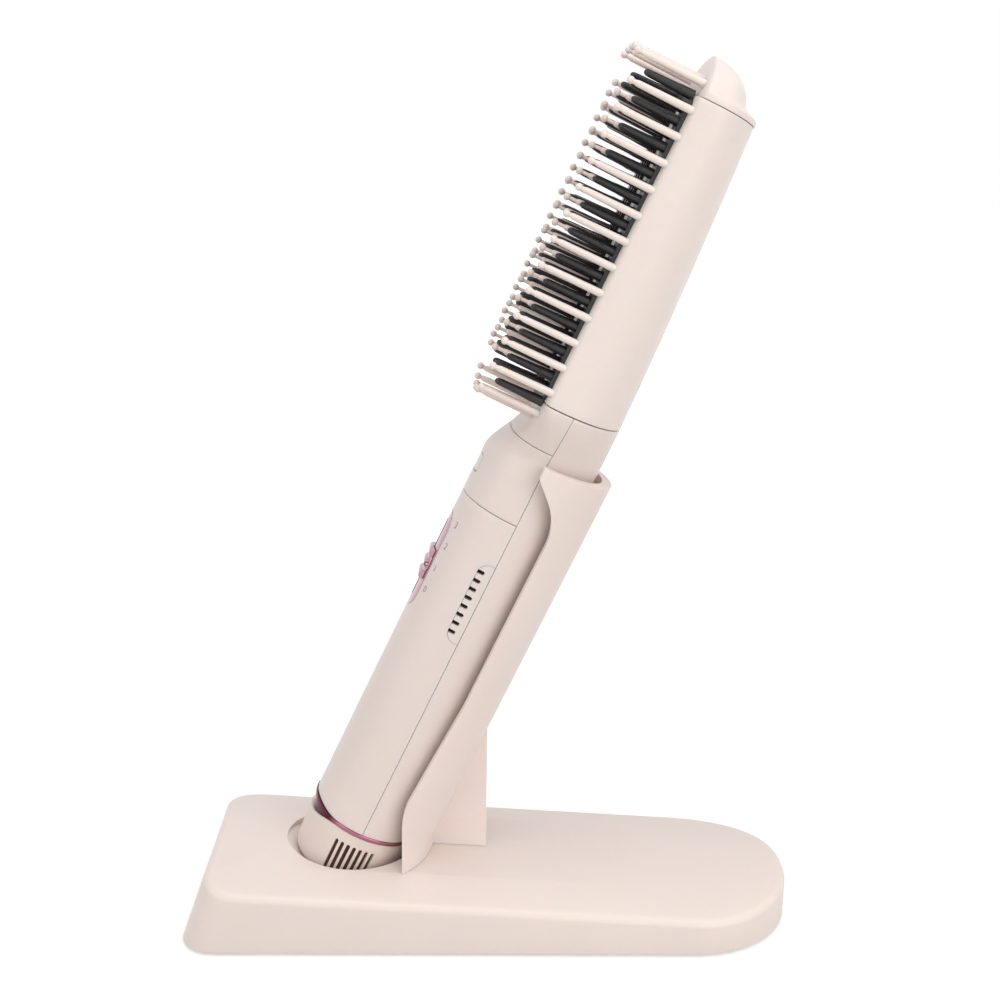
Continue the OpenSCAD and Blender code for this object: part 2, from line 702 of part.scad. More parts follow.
module slide_control() {
    color([0.22, 0.22, 0.24]) in_brush() difference() {
        translate([-board_x - board_t - control_t, -3.6, track_z - track_l/2 - 2]) cube([control_t, 7.2, track_l + 4]);
        translate([-board_x - board_t - control_t - 1, -0.8, track_z - slot_l/2 - 1]) cube([control_t, 1.6, slot_l + 2]);
    }
}

module control_board() {
    color([0.10, 0.33, 0.20]) in_brush() translate([-board_x - board_t, -11, 30])
        cube([board_t, 22, cover_z - 30 + 15.5]);
}

module button_switch() {
    color([0.30, 0.30, 0.32]) in_brush() translate([-board_x - board_t - 1.6, -3, button_z - 3])
        cube([1.6, 6, 6]);
}

module power_button() {
    color(shade_pink) in_brush() {
        intersection() {
            tube(inner_r - 0.8, handle_r - 0.15, button_z - 10, button_z + 10);
            through_front(button_z) button_plan(0);
        }
        // Flange behind the cover, and the stem to the switch
        intersection() {
            tube(inner_r - 1.8, inner_r - 0.3, button_z - 10, button_z + 10);
            through_front(button_z) button_plan(1.2);
        }
        translate([-inner_r + 1, -1.5, button_z - 1.5])
            cube([inner_r - 1 - board_x - board_t - 1.6 - button_travel - 0.15, 3, 3]);
    }
}

module indicator_lens() {
    color([0.35, 0.36, 0.38]) in_brush() translate([-handle_r + 0.05, 0, lens_z]) rotate([0, 90, 0])
        cylinder(d = lens_d, h = handle_r - board_x - board_t - 0.05);
}

cell_r = 9.1;
cell_x = 4.6;
cell_l = 64;
module battery_cells() {
    color([0.20, 0.42, 0.62]) in_brush() for (z = [8, 8 + cell_l + 1]) translate([cell_x, 0, z])
        cylinder(r = cell_r, h = cell_l);
}

module battery_tray() {
    color([0.85, 0.85, 0.83]) in_brush() {
        difference() {
            translate([cell_x, 0, 6.5]) cylinder(r = cell_r + 1.4, h = 2*cell_l + 4.5);
            translate([cell_x, 0, 8]) cylinder(r = cell_r, h = 2*cell_l + 1);
            translate([cell_x - big, -big/2, 0]) cube([big, big, big]);
        }
        // Feet that rest on the back shell
        for (z = [20, 110]) intersection() {
            translate([cell_x + cell_r + 0.8, -2, z]) cube([10, 4, 3]);
            cylinder(r = inner_r, h = big);
        }
    }
}

module cover_screws() {
    color([0.55, 0.56, 0.58]) in_brush() for (s = [-1, 1]) translate([0, s*screw_y, screw_z]) rotate([0, 90, 0]) {
        translate([0, 0, -8]) cylinder(d = 2.1, h = screw_seat + 8);
        translate([0, 0, screw_seat]) cylinder(d = 4.6, h = 1.6);
    }
}

// The head's shell: its back and sides, open at the front between the rails
rail_t = 3;
module head_shell() {
    color(shell_pink) in_brush() difference() {
        body_form(head_z, cap_z - seam, 0, 12);
        translate([-big - rail_w + rail_t, -big/2, 0]) cube([big, big, big]);
        difference() {
            body_form(head_z - 1, cap_z + 1, shell_t, 12);
            translate([-20, -head_hw, head_z]) cube([40, 2*head_hw, 2]);
        }
        // Way through for the leads
        translate([2, 0, head_z - 1]) cylinder(r = 10, h = 5);
        // Ledge that the carrier rests on stays between these two heights
        translate([-big - 2, -field_hw, head_z - 1]) cube([big, 2*field_hw, head_l + 4]);
    }
}

// One rail with its row of rods, let into the edge of the head's shell
module rod_rail(side) {
    color(shade_pink) in_brush() intersection() {
        union() {
            difference() {
                intersection() {
                    body_form(head_z, cap_z - seam, 0, 12);
                    translate([-rail_w, -big/2, head_z]) cube([rail_t - 0.1, big, head_l - seam]);
                }
                field_cut(-0.15);
                // Chamfer along the outer edge
                for (s = [-1, 1]) translate([-rail_w, s*head_hw, head_z - 1]) rotate([0, 0, s*38])
                    translate([-3, -1.6, 0]) cube([4, 3.2, head_l + 2]);
            }
            for (i = [0:rods - 1]) on_front(rod_z0 + i*pitch, side*rod_y, rail_w - 1) rod(rod_h + 1);
        }
        translate([-big/2, side > 0 ? 1 : -big - 1, 0]) cube([big, big, big]);
    }
}
module rod_rail_left() rod_rail(1);
module rod_rail_right() rod_rail(-1);

// The domed end cap, with a flat slanted face round its rods and a thin lip at its back
cap_rise = [0, 0.11, 0.19, 0.28, 0.4, 0.5, 0.6, 0.72, 0.82, 0.9, 0.96, 1];
function cap_back(u) = lookup(u, [[0, 13.9], [0.11, 13.5], [0.19, 10.2], [0.28, 8.1], [0.4, 7], [0.5, 5.9],
    [0.6, 4.5], [0.72, 2.6], [0.82, 0.3], [0.9, -2.4], [0.96, -5.2], [1, -7.6]]);
function cap_front(u) = lookup(u, [[0, 10.2], [0.3, 9.5], [0.55, 9.1], [0.8, 8.7], [1, 8.2]]);
function cap_mid(u) = lookup(u, [[0, 3], [0.68, 3], [0.8, 4.4], [0.9, 6.2], [1, 8]]);
function cap_side(u) = lookup(u, [[0, 27], [0.12, 26.9], [0.2, 26.4], [0.3, 25.6], [0.42, 24.2], [0.55, 22],
    [0.68, 19], [0.8, 15], [0.9, 10.6], [0.97, 6], [1, 1.6]])*head_hw/27;
module cap_form(inset, sink) {
    n = 56;
    steps = len(cap_rise) - 1;
    pts = [for (u = cap_rise, j = [0:n - 1]) let (a = 360*(j + 0.5)/n, s = sin(a), c = cos(a), mid = cap_mid(u),
        f = max(0.2, cap_front(u) - mid - inset), r = max(0.2, cap_back(u) + mid - inset), hw = max(0.5, cap_side(u) - inset))
        [(s > 0 ? r*s : -f*pow(abs(s), 0.3)) - mid, hw*(s > 0 ? c : sign(c)*pow(abs(c), 0.3)), cap_z + u*cap_l - sink]];
    sides = [for (i = [0:steps - 1], j = [0:n - 1]) let (k = (j + 1) % n)
        each [[i*n + j, (i + 1)*n + k, (i + 1)*n + j], [i*n + j, i*n + k, (i + 1)*n + k]]];
    polyhedron(pts, concat(sides, [[for (j = [n - 1:-1:0]) j], [for (j = [0:n - 1]) steps*n + j]]), convexity = 6);
}

module head_end_cap() {
    color(shell_pink) in_brush() {
        difference() {
            cap_form(0, 0);
            cap_form(shell_t, shell_t);
            field_cut(-0.15);
        }
        for (p = cap_rods, s = [-1, 1])
            on_front(cap_z + p[1], s*p[0], rail_w - 2.4) rod(cap_rod_h + 2.4);
    }
}

// The crowned field: all the space behind its front surface, lowered by drop
field_top = rail_w + field_crown;
field_arc = (field_hw*field_hw + field_crown*field_crown)/(2*field_crown);
function field_at(y) = field_top - field_arc + sqrt(field_arc*field_arc - y*y);
module behind_field(drop) translate([field_arc - field_top + drop, 0, field_z - field_hl - 10])
    cylinder(r = field_arc, h = 2*field_hl + 20, $fn = 128);

bar_t = 0.7;
plate_thick = 1.2;
frame_w = 5;
seat_fit = 0.05;
inner_w = 3.8;
module heater_plate() {
    color([0.80, 0.81, 0.83]) in_brush() difference() {
        intersection() {
            behind_field(bar_t);
            field_cut(frame_w + 0.1);
        }
        behind_field(bar_t + plate_thick);
        for (i = [1:rods - 2]) pin_hole(rod_z0 + i*pitch, 0);
        for (s = [-1, 1], i = [1:rods - 1]) pin_hole(teeth_z0 + i*pitch, s*inner_y);
    }
}
module pin_hole(z, y) on_front(z, y, 0) cylinder(r = 1.45, h = 30, $fn = 24);

// Black frame that holds the plate's edge and closes the field all round
frame_top = rail_w + frame_up;
root_r = 1.75;
outer_seat = 0.8;
inner_end = end_bow + 2;
teeth_z0 = rod_z0 - pitch/2;
module bar_seat(side, gap) {
    translate([-frame_top - gap, side*outer_y - 1.5 - gap, field_z - field_hl + end_bow - gap])
        cube([outer_seat + 2*gap, 3 + 2*gap, 2*(field_hl - end_bow + gap)]);
}
module comb_frame() {
    color(tooth_black) in_brush() difference() {
        intersection() {
            field_cut(0);
            translate([-frame_top, -big/2, 0]) cube([frame_up + 4.4, big, big]);
        }
        field_cut(frame_w);
        // Seats of the outer bars, of the end teeth on them, and of the inner bars' ends
        for (s = [-1, 1]) bar_seat(s, seat_fit);
        for (s = [-1, 1], i = [0:rods]) on_front(teeth_z0 + i*pitch, s*outer_y, frame_top - outer_seat - seat_fit)
            cylinder(r = root_r + seat_fit, h = 5);
        for (s = [-1, 1]) translate([-field_top, s*inner_y - inner_w/2 - seat_fit, field_z - field_hl + inner_end - 0.5])
            cube([field_top - field_at(inner_y + inner_w/2) + bar_t + seat_fit, inner_w + 2*seat_fit, 2*(field_hl - inner_end + 0.5)]);
    }
}

module tooth_bar(y, width, z0, z1) {
    intersection() {
        difference() {
            behind_field(0);
            behind_field(bar_t - 0.02);
        }
        translate([-2*field_top, y - width/2, z0]) cube([2*field_top, width, z1 - z0]);
    }
}

module tooth_bar_middle() {
    color(tooth_black) in_brush() {
        difference() {
            union() {
                tooth_bar(0, 7, field_z - field_hl + frame_w + 0.6, field_z + field_hl - frame_w - 0.6);
                // Stiffening ribs along the bar
                for (y = [-2.9, 2.9]) translate([-field_at(2.9) - 0.55, y - 0.45, field_z - field_hl + frame_w + 0.6])
                    cube([0.9, 0.9, 2*(field_hl - frame_w - 0.6)]);
            }
            for (i = [1:rods - 2]) pin_hole(rod_z0 + i*pitch, 0);
        }
        for (i = [1:rods - 1]) on_front(teeth_z0 + i*pitch, 0, field_top - 0.6) tooth(rail_w + middle_h - field_top + 0.6);
    }
}

module inner_bar(side) {
    color(tooth_black) in_brush() {
        difference() {
            tooth_bar(side*inner_y, inner_w, field_z - field_hl + inner_end, field_z + field_hl - inner_end);
            for (i = [1:rods - 1]) pin_hole(teeth_z0 + i*pitch, side*inner_y);
        }
        for (i = [0:rods - 1]) on_front(rod_z0 + i*pitch, side*inner_y, field_at(inner_y) - 0.45)
            tooth(rail_w + inner_h - field_at(inner_y) + 0.45);
    }
}
module tooth_bar_inner_left() inner_bar(1);
module tooth_bar_inner_right() inner_bar(-1);

module outer_bar(side) {
    color(tooth_black) in_brush() {
        bar_seat(side, 0);
        for (i = [0:rods]) on_front(teeth_z0 + i*pitch, side*outer_y, frame_top - outer_seat + 0.05)
            tooth(outer_h - frame_up + outer_seat - 0.05);
    }
}
module tooth_bar_outer_left() outer_bar(1);
module tooth_bar_outer_right() outer_bar(-1);

// Strips under the plate, with the ball pins that come up through it
strip_t = 2;
module pin_strip(y, z0, count, h) {
    w = field_at(abs(y) + 2) - bar_t - plate_thick - 0.1;
    color(shade_pink) in_brush() {
        translate([-w, y - 2.4, z0 - 3]) cube([strip_t, 4.8, (count - 1)*pitch + 6]);
        for (i = [0:count - 1]) on_front(z0 + i*pitch, y, w - 0.5) ball_pin(rail_w + h - w + 0.5);
    }
}
module pin_strip_middle() pin_strip(0, rod_z0 + pitch, rods - 2, middle_pin_h);
module pin_strip_left() pin_strip(inner_y, teeth_z0 + pitch, rods - 1, inner_pin_h);
module pin_strip_right() pin_strip(-inner_y, teeth_z0 + pitch, rods - 1, inner_pin_h);

// Two heating bars against the back of the plate
heater_w = field_at(inner_y - 3.4) - bar_t - plate_thick - 0.1;
carrier_w = heater_w - 4.4;
heater_l = 2*field_hl - 23.4;
module heater_bars() {
    color([0.72, 0.70, 0.66]) in_brush() for (s = [-1, 1])
        translate([-heater_w, s*(inner_y/2 - 0.2) - 3.6, field_z - heater_l/2]) cube([4.3, 7.2, heater_l]);
}

// Heat-proof carrier behind the bars, resting in the head's shell
module heater_carrier() {
    color([0.84, 0.80, 0.72]) in_brush() {
        difference() {
            translate([-carrier_w, -field_hw + 2.2, field_z - field_hl + 6]) cube([2, 2*field_hw - 4.4, 2*field_hl - 12]);
            translate([-carrier_w - 1, 0, field_z - field_hl + 10]) rotate([0, 90, 0]) cylinder(r = 3, h = 6);
        }
        // Walls that carry the outer pin strips, and feet on the back of the shell
        for (s = [-1, 1]) translate([-field_at(inner_y + 2) + bar_t + plate_thick + strip_t + 0.15, s*inner_y - 1, field_z - heater_l/2])
            cube([field_at(inner_y + 2) - bar_t - plate_thick - strip_t - 0.1 - carrier_w, 2, heater_l]);
        for (z = [field_z - heater_l/2 + 5, field_z + heater_l/2 - 11]) translate([-carrier_w + 1, -1.5, z])
            cube([carrier_w + body_back(z + 6) - shell_t - 1.4, 3, 6]);
    }
}

module heater_leads() {
    color([0.75, 0.20, 0.15]) in_brush() for (s = [-1, 1])
        translate([-board_x + 0.9, s*2.2, cover_z + 10]) rotate([0, 12.5, 0]) cylinder(d = 1.6, h = field_z - field_hl + 8 - cover_z - 10);
}

dock_top_shell();
dock_base_plate();
dock_feet();
dock_ballast();
dock_board();
power_inlet();
dock_screws();
contact_block();
dock_contacts();
cradle_spine();
cradle_screws();
cradle_pads();
handle_front_shell();
handle_rear_shell();
switch_cover();
neck_front();
neck_rear();
accent_ring();
foot_cap();
foot_contacts();
vent_left();
vent_right();
vent_filters();
slider_track();
heat_slider();
power_button();
indicator_lens();
control_board();
slide_control();
button_switch();
battery_cells();
battery_tray();
cover_screws();
head_shell();
rod_rail_left();
rod_rail_right();
head_end_cap();
heater_plate();
comb_frame();
tooth_bar_middle();
tooth_bar_inner_left();
tooth_bar_inner_right();
tooth_bar_outer_left();
tooth_bar_outer_right();
pin_strip_middle();
pin_strip_left();
pin_strip_right();
heater_bars();
heater_carrier();
heater_leads();
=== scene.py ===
import bpy
import bmesh
import math
from mathutils import Matrix, Vector


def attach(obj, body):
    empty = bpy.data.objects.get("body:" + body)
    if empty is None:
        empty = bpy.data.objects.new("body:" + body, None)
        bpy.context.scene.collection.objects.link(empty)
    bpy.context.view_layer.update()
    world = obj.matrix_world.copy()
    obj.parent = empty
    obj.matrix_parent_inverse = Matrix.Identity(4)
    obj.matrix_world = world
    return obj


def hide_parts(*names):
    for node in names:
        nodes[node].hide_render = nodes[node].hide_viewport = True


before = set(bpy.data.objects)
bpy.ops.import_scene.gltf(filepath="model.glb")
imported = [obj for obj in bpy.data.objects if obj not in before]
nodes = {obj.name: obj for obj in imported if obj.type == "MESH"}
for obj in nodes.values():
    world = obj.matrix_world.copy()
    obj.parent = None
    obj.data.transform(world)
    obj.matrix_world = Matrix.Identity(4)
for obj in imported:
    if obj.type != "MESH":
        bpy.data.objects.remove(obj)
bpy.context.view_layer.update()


# The view: a short tele lens a little above the brush, square to its side.
# The set is a white sweep with soft light from above and from both sides.
# Only the camera, the lamps and the floor are made here.

def srgb(red, green, blue):
    """A colour read from a display, 0 to 255, as scene-linear values."""
    values = [v / 255 for v in (red, green, blue)]
    return [v / 12.92 if v <= 0.04045 else ((v + 0.055) / 1.055) ** 2.4 for v in values] + [1.0]


def dial(node, **numbers):
    """Sets numbers on a shader node's sockets, whose spaces are written as _."""
    for socket, number in numbers.items():
        node.inputs[socket.replace("_", " ")].default_value = number
    return node


def shader_node(tree, kind, **numbers):
    """A new shader node with its numbers set."""
    return dial(tree.nodes.new(kind), **numbers)


def reckon(tree, how, one, other):
    """A value reckoned from two others."""
    step = shader_node(tree, "ShaderNodeMath")
    step.operation = how
    tree.links.new(one, step.inputs[0])
    tree.links.new(other, step.inputs[1])
    return step.outputs[0]


def direct_rays(tree):
    """One for rays from the camera, a reflection or a clear piece, and nought for the others."""
    rays = shader_node(tree, "ShaderNodeLightPath")
    direct = rays.outputs["Is Camera Ray"]
    for kind in ("Is Glossy Ray", "Is Transmission Ray"):
        direct = reckon(tree, "MAXIMUM", direct, rays.outputs[kind])
    return direct


camera_place = Vector((-0.01043, -0.49268, 0.28831))
camera_pitch = math.radians(15.03)
camera_yaw = math.radians(1.409)
camera_roll = math.radians(-0.925)
ahead = Vector((math.sin(camera_yaw) * math.cos(camera_pitch),
                math.cos(camera_yaw) * math.cos(camera_pitch), -math.sin(camera_pitch)))
level = Vector((math.cos(camera_yaw), -math.sin(camera_yaw), 0))
down = ahead.cross(level)
across = math.cos(camera_roll) * level + math.sin(camera_roll) * down
below = -math.sin(camera_roll) * level + math.cos(camera_roll) * down
camera_data = bpy.data.cameras.new("camera")
camera_data.sensor_width = 36
camera_data.lens = 52.41
camera_data.clip_start = 0.01
camera = bpy.data.objects.new("camera", camera_data)
camera_turn = Matrix((across, -below, -ahead)).transposed().to_4x4()
camera.matrix_world = Matrix.Translation(camera_place) @ camera_turn
bpy.context.scene.collection.objects.link(camera)
bpy.context.scene.camera = camera
bpy.context.scene.view_settings.view_transform = "Standard"


def lamp(name, place, aim, size, power, tint):
    """A square softbox."""
    data = bpy.data.lights.new(name, "AREA")
    data.size = size
    data.energy = power
    data.color = tint
    box = bpy.data.objects.new(name, data)
    box.location = place
    box.rotation_euler = (Vector(aim) - Vector(place)).to_track_quat("-Z", "Y").to_euler()
    bpy.context.scene.collection.objects.link(box)


lamp("softbox_top", (0.05, -0.3, 1.15), (0, 0, 0.1), 0.9, 3.8, (1.0, 0.99, 0.98))
lamp("softbox_left", (-0.95, -0.75, 0.55), (0, 0, 0.15), 0.7, 2.0, (1.0, 0.99, 0.98))
lamp("softbox_right", (0.72, -0.95, 0.5), (0, 0, 0.15), 0.8, 5.0, (1.0, 0.985, 0.97))

world = bpy.data.worlds.new("white_room")
bpy.context.scene.world = world
world.use_nodes = True
sky = world.node_tree
sky.nodes.clear()
dim = shader_node(sky, "ShaderNodeBackground", Color=(1.0, 0.985, 0.97, 1), Strength=0.62)
white = shader_node(sky, "ShaderNodeBackground", Color=(1, 1, 1, 1), Strength=1.0)
either = shader_node(sky, "ShaderNodeMixShader")
room = shader_node(sky, "ShaderNodeOutputWorld")
sky.links.new(direct_rays(sky), either.inputs[0])
sky.links.new(dim.outputs[0], either.inputs[1])
sky.links.new(white.outputs[0], either.inputs[2])
sky.links.new(either.outputs[0], room.inputs[0])

floor_half = 4
floor_corners = [(x * floor_half, y * floor_half, 0) for x, y in ((-1, -1), (1, -1), (1, 1), (-1, 1))]
floor_mesh = bpy.data.meshes.new("floor")
floor_mesh.from_pydata(floor_corners, [], [(0, 1, 2, 3)])
floor = bpy.data.objects.new("floor", floor_mesh)
bpy.context.scene.collection.objects.link(floor)
paper = bpy.data.materials.new("floor_white")
paper.use_nodes = True
sheet = paper.node_tree
sheet.nodes.clear()
matt = shader_node(sheet, "ShaderNodeBsdfDiffuse", Color=(0.62, 0.61, 0.60, 1))
glow = shader_node(sheet, "ShaderNodeEmission")
where = shader_node(sheet, "ShaderNodeTexCoord")
away = shader_node(sheet, "ShaderNodeVectorMath")
away.operation = "LENGTH"
rise = shader_node(sheet, "ShaderNodeMapRange", From_Min=0.25, From_Max=0.8, To_Min=0.52, To_Max=0.85)
rise.interpolation_type = "SMOOTHSTEP"
both = shader_node(sheet, "ShaderNodeAddShader")
top = shader_node(sheet, "ShaderNodeOutputMaterial")
sheet.links.new(where.outputs["Object"], away.inputs[0])
sheet.links.new(away.outputs["Value"], rise.inputs["Value"])
glow_power = reckon(sheet, "MULTIPLY", direct_rays(sheet), rise.outputs["Result"])
sheet.links.new(glow_power, glow.inputs["Strength"])
sheet.links.new(matt.outputs[0], both.inputs[0])
sheet.links.new(glow.outputs[0], both.inputs[1])
sheet.links.new(both.outputs[0], top.inputs[0])
floor_mesh.materials.append(paper)


# The dock's underside: a flat plate held by four screws, and four rubber feet.
# Inside it lie a steel weight, the charging board and the inlet's metal shell.
# They are moulded, stamped or bought pieces that keep their solids' shapes.

def noise(tree, scale, detail=2.0):
    """Noise in the object's own space, at so many cells a metre."""
    place = shader_node(tree, "ShaderNodeTexCoord")
    grain = shader_node(tree, "ShaderNodeTexNoise", Scale=scale, Detail=detail, Roughness=0.5)
    tree.links.new(place.outputs["Object"], grain.inputs["Vector"])
    return grain.outputs["Fac"]


def ramp(tree, source, low, high, low_colour, high_colour):
    """Colours between two tints where the source runs from low to high."""
    colours = shader_node(tree, "ShaderNodeValToRGB")
    ends = colours.color_ramp.elements
    for end, place, colour in ((ends[0], low, low_colour), (ends[1], high, high_colour)):
        end.position = place
        end.color = colour
    tree.links.new(source, colours.inputs["Fac"])
    return colours.outputs["Color"]


def spread(tree, source, low, high):
    """A value from low to high where the source runs over noise's usual range."""
    value = shader_node(tree, "ShaderNodeMapRange", From_Min=0.3, From_Max=0.7, To_Min=low, To_Max=high)
    tree.links.new(source, value.inputs["Value"])
    return value.outputs["Result"]


def emboss(tree, source, depth):
    """Raises the surface by the source, depth in millimetres."""
    bump = shader_node(tree, "ShaderNodeBump", Strength=1.0, Distance=depth / 1000)
    tree.links.new(source, bump.inputs["Height"])
    return bump.outputs["Normal"]


def finish(name, **numbers):
    """A new material, its nodes and its shader with plain numbers set."""
    material = bpy.data.materials.new(name)
    material.use_nodes = True
    shader = material.node_tree.nodes["Principled BSDF"]
    dial(shader, Subsurface_Radius=(1.0, 0.42, 0.22), Subsurface_Scale=0.003, **numbers)
    return material, material.node_tree, shader


def dress(tree, shader, **sources):
    """Joins shader values to the shader's sockets."""
    for socket, source in sources.items():
        tree.links.new(source, shader.inputs[socket.replace("_", " ")])


def tints(colour, tint):
    """A deeper and a paler shade on either side of a colour."""
    return [[min(1.0, c * share) for c in colour[:3]] + [1] for share in (1 - tint, 1 + tint)]


def moulded(name, colour, rough, grain=0.3, depth=0.012, tint=0.035, **numbers):
    """Moulded plastic: a fine even grain, faint clouding and slightly uneven gloss."""
    material, tree, shader = finish(name, **numbers)
    dress(tree, shader, Base_Color=ramp(tree, noise(tree, 28, 3), 0.3, 0.7, *tints(colour, tint)),
          Roughness=spread(tree, noise(tree, 160, 4), rough - 0.05, rough + 0.05),
          Normal=emboss(tree, noise(tree, 1000 / grain, 2), depth))
    return material


def metal(name, colour, rough, grain=0.25, depth=0.006, tint=0.06):
    """Metal with fine tool marks and a little variation in gloss."""
    material, tree, shader = finish(name, Metallic=1.0)
    dress(tree, shader, Base_Color=ramp(tree, noise(tree, 90, 3), 0.35, 0.65, *tints(colour, tint)),
          Roughness=spread(tree, noise(tree, 500, 3), rough - 0.04, rough + 0.06),
          Normal=emboss(tree, noise(tree, 1000 / grain, 3), depth))
    return material


def coat_node(material, *names):
    """Gives solids of the frame their finish."""
    for name in names:
        mesh = nodes[name].data
        if not mesh.materials:
            mesh.materials.append(material)
        for place in range(len(mesh.materials)):
            nodes[name].material_slots[place].material = material


rubber = moulded("rubber_black", srgb(52, 48, 46), 0.72, grain=0.5, depth=0.03, tint=0.12)
plate_pink = moulded("plate_pink", srgb(224, 210, 203), 0.55, grain=0.45, depth=0.02)
screw_steel = metal("screw_steel", srgb(168, 168, 170), 0.32)
weight_steel = metal("weight_steel", srgb(110, 112, 116), 0.55, grain=0.6, depth=0.02)
inlet_steel = metal("inlet_steel", srgb(188, 189, 192), 0.28)
board_green, board_tree, board_shader = finish("board_green", Specular_IOR_Level=0.6)
cells = shader_node(board_tree, "ShaderNodeTexVoronoi", Scale=240)
cells.feature = "DISTANCE_TO_EDGE"
board_place = shader_node(board_tree, "ShaderNodeTexCoord")
board_tree.links.new(board_place.outputs["Object"], cells.inputs["Vector"])
cell_edge = cells.outputs["Distance"]
dress(board_tree, board_shader,
      Base_Color=ramp(board_tree, cell_edge, 0.03, 0.06, srgb(96, 150, 92), srgb(26, 92, 58)),
      Roughness=spread(board_tree, noise(board_tree, 400), 0.3, 0.42),
      Normal=emboss(board_tree, cell_edge, 0.02))
coat_node(rubber, "dock_feet")
coat_node(plate_pink, "dock_base_plate")
coat_node(screw_steel, "dock_screws")
coat_node(weight_steel, "dock_ballast")
coat_node(inlet_steel, "power_inlet")
coat_node(board_green, "dock_board")


# The dock's top shell: one long low moulding in pale pink with a satin grain.
# Its top falls to the round end and is crowned from side to side, with rolled edges.
# The brush's foot drops into a round socket, and the inlet's slot is in the far side.

dock_l = 220.0
dock_w = 80.0
dock_h = 18.0
dock_slope = math.radians(3.3)
dock_crown = 5.0
dock_flare = 9.0
dock_corner = 12.5
dock_round = 37.5
dock_edge = 2.4
dock_foot_edge = 0.8
dock_wall = 2.4
dock_low = 1.0
dock_ridge_steps = 24
crown_r = (dock_w * dock_w / 4 + dock_crown * dock_crown) / (2 * dock_crown)
seat_x = -51.0
ring_up = 10.7
lean = math.radians(65.3)
foot_l = 21.0
socket_floor = -foot_l - 0.3
bore_r = 22.5
cup_wall = 2.0
contact_y = 6.0
contact_hole_r = 1.4
plate_top = 3.35
inlet_slot = ((3.3, 36, 6.2), (12.7, 44, 9.8))
mid_z = dock_h + dock_crown - math.tan(dock_slope) * seat_x
ring_x = seat_x + ring_up * math.cos(lean)
ring_z = mid_z + ring_up * math.sin(lean)
real = Matrix.Scale(0.001, 4)
tilt = Matrix.Translation((ring_x, 0, ring_z)) @ Matrix.Rotation(math.pi / 2 - lean, 4, "Y")
in_brush = real @ tilt
milky = 0.35


def make(name, points, faces):
    """A closed mesh in millimetres, with its faces turned outwards."""
    mesh = bpy.data.meshes.new(name)
    mesh.from_pydata([tuple(p) for p in points], [], faces)
    work = bmesh.new()
    work.from_mesh(mesh)
    bmesh.ops.remove_doubles(work, verts=work.verts, dist=0.0005)
    bmesh.ops.recalc_face_normals(work, faces=work.faces)
    work.to_mesh(mesh)
    work.free()
    piece = bpy.data.objects.new(name, mesh)
    bpy.context.scene.collection.objects.link(piece)
    return piece


def rings_faces(count, around, joined=False):
    """Quads between closed rings of points; joined also closes the last ring to the first."""
    faces = []
    for i in range(count if joined else count - 1):
        for j in range(around):
            k = (j + 1) % around
            low = i * around
            high = ((i + 1) % count) * around
            faces.append((low + j, low + k, high + k, high + j))
    return faces


def loft(name, rings, matrix=None, joined=False):
    """A solid through closed rings of points, with flat ends unless they are joined."""
    around = len(rings[0])
    faces = rings_faces(len(rings), around, joined)
    if not joined:
        faces.append(tuple(range(around)))
        faces.append(tuple((len(rings) - 1) * around + j for j in range(around)))
    piece = make(name, [p for ring in rings for p in ring], faces)
    if matrix:
        piece.data.transform(matrix)
    return piece


def settle(piece):
    """Writes the piece's modifier into its mesh."""
    graph = bpy.context.evaluated_depsgraph_get()
    mesh = bpy.data.meshes.new_from_object(piece.evaluated_get(graph))
    piece.modifiers.clear()
    piece.data = mesh


def cut(piece, tool, how="DIFFERENCE"):
    """Takes the tool from the piece, or joins it, and clears the tool away."""
    change = piece.modifiers.new("cut", "BOOLEAN")
    change.operation = how
    change.solver = "EXACT"
    change.object = tool
    settle(piece)
    bpy.data.objects.remove(tool)
    return piece


def ease(piece, width, angle, steps=2):
    """Rounds the edges that are sharper than an angle."""
    change = piece.modifiers.new("ease", "BEVEL")
    change.width = width
    change.segments = steps
    change.limit_method = "ANGLE"
    change.angle_limit = math.radians(angle)
    change.use_clamp_overlap = True
    settle(piece)


def fit(piece, matrix, body, material, stands_for=()):
    """Puts a finished piece in its place on its body, smooth except at its sharp edges."""
    piece.data.transform(matrix)
    piece.data.materials.clear()
    piece.data.materials.append(material)
    piece.data.polygons.foreach_set("use_smooth", [True] * len(piece.data.polygons))
    piece.data.set_sharp_from_angle(angle=math.radians(32))
    piece.data.update()
    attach(piece, body)
    if stands_for:
        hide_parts(*stands_for)


def arc(x, y, r, start, end, steps):
    """Points along an arc, in degrees."""
    turns = [math.radians(start + (end - start) * i / steps) for i in range(steps + 1)]
    return [(x + r * math.cos(t), y + r * math.sin(t)) for t in turns]


def circle(x, y, r, sides):
    """Points evenly round a circle."""
    turns = [2 * math.pi * j / sides for j in range(sides)]
    return [(x + r * math.cos(t), y + r * math.sin(t)) for t in turns]


def dock_plan(left, inset):
    """The dock's outline, with its high end drawn in by left and all of it by inset."""
    x0 = -dock_l / 2 + left + inset
    x1 = dock_l / 2 - inset
    y1 = dock_w / 2 - inset
    left_r = dock_corner - inset
    right_r = dock_round - inset
    return (arc(x1 - right_r, -y1 + right_r, right_r, -90, 0, 36)
            + arc(x1 - right_r, y1 - right_r, right_r, 0, 90, 36)
            + arc(x0 + left_r, y1 - left_r, left_r, 90, 180, 20)
            + arc(x0 + left_r, -y1 + left_r, left_r, 180, 270, 20))


def dock_top_at(x, y, drop):
    """Height of the crowned top over a place, lowered by drop."""
    return (dock_h + dock_crown - drop - x * math.tan(dock_slope)
            + (math.sqrt(crown_r * crown_r - y * y) - crown_r) / math.cos(dock_slope))


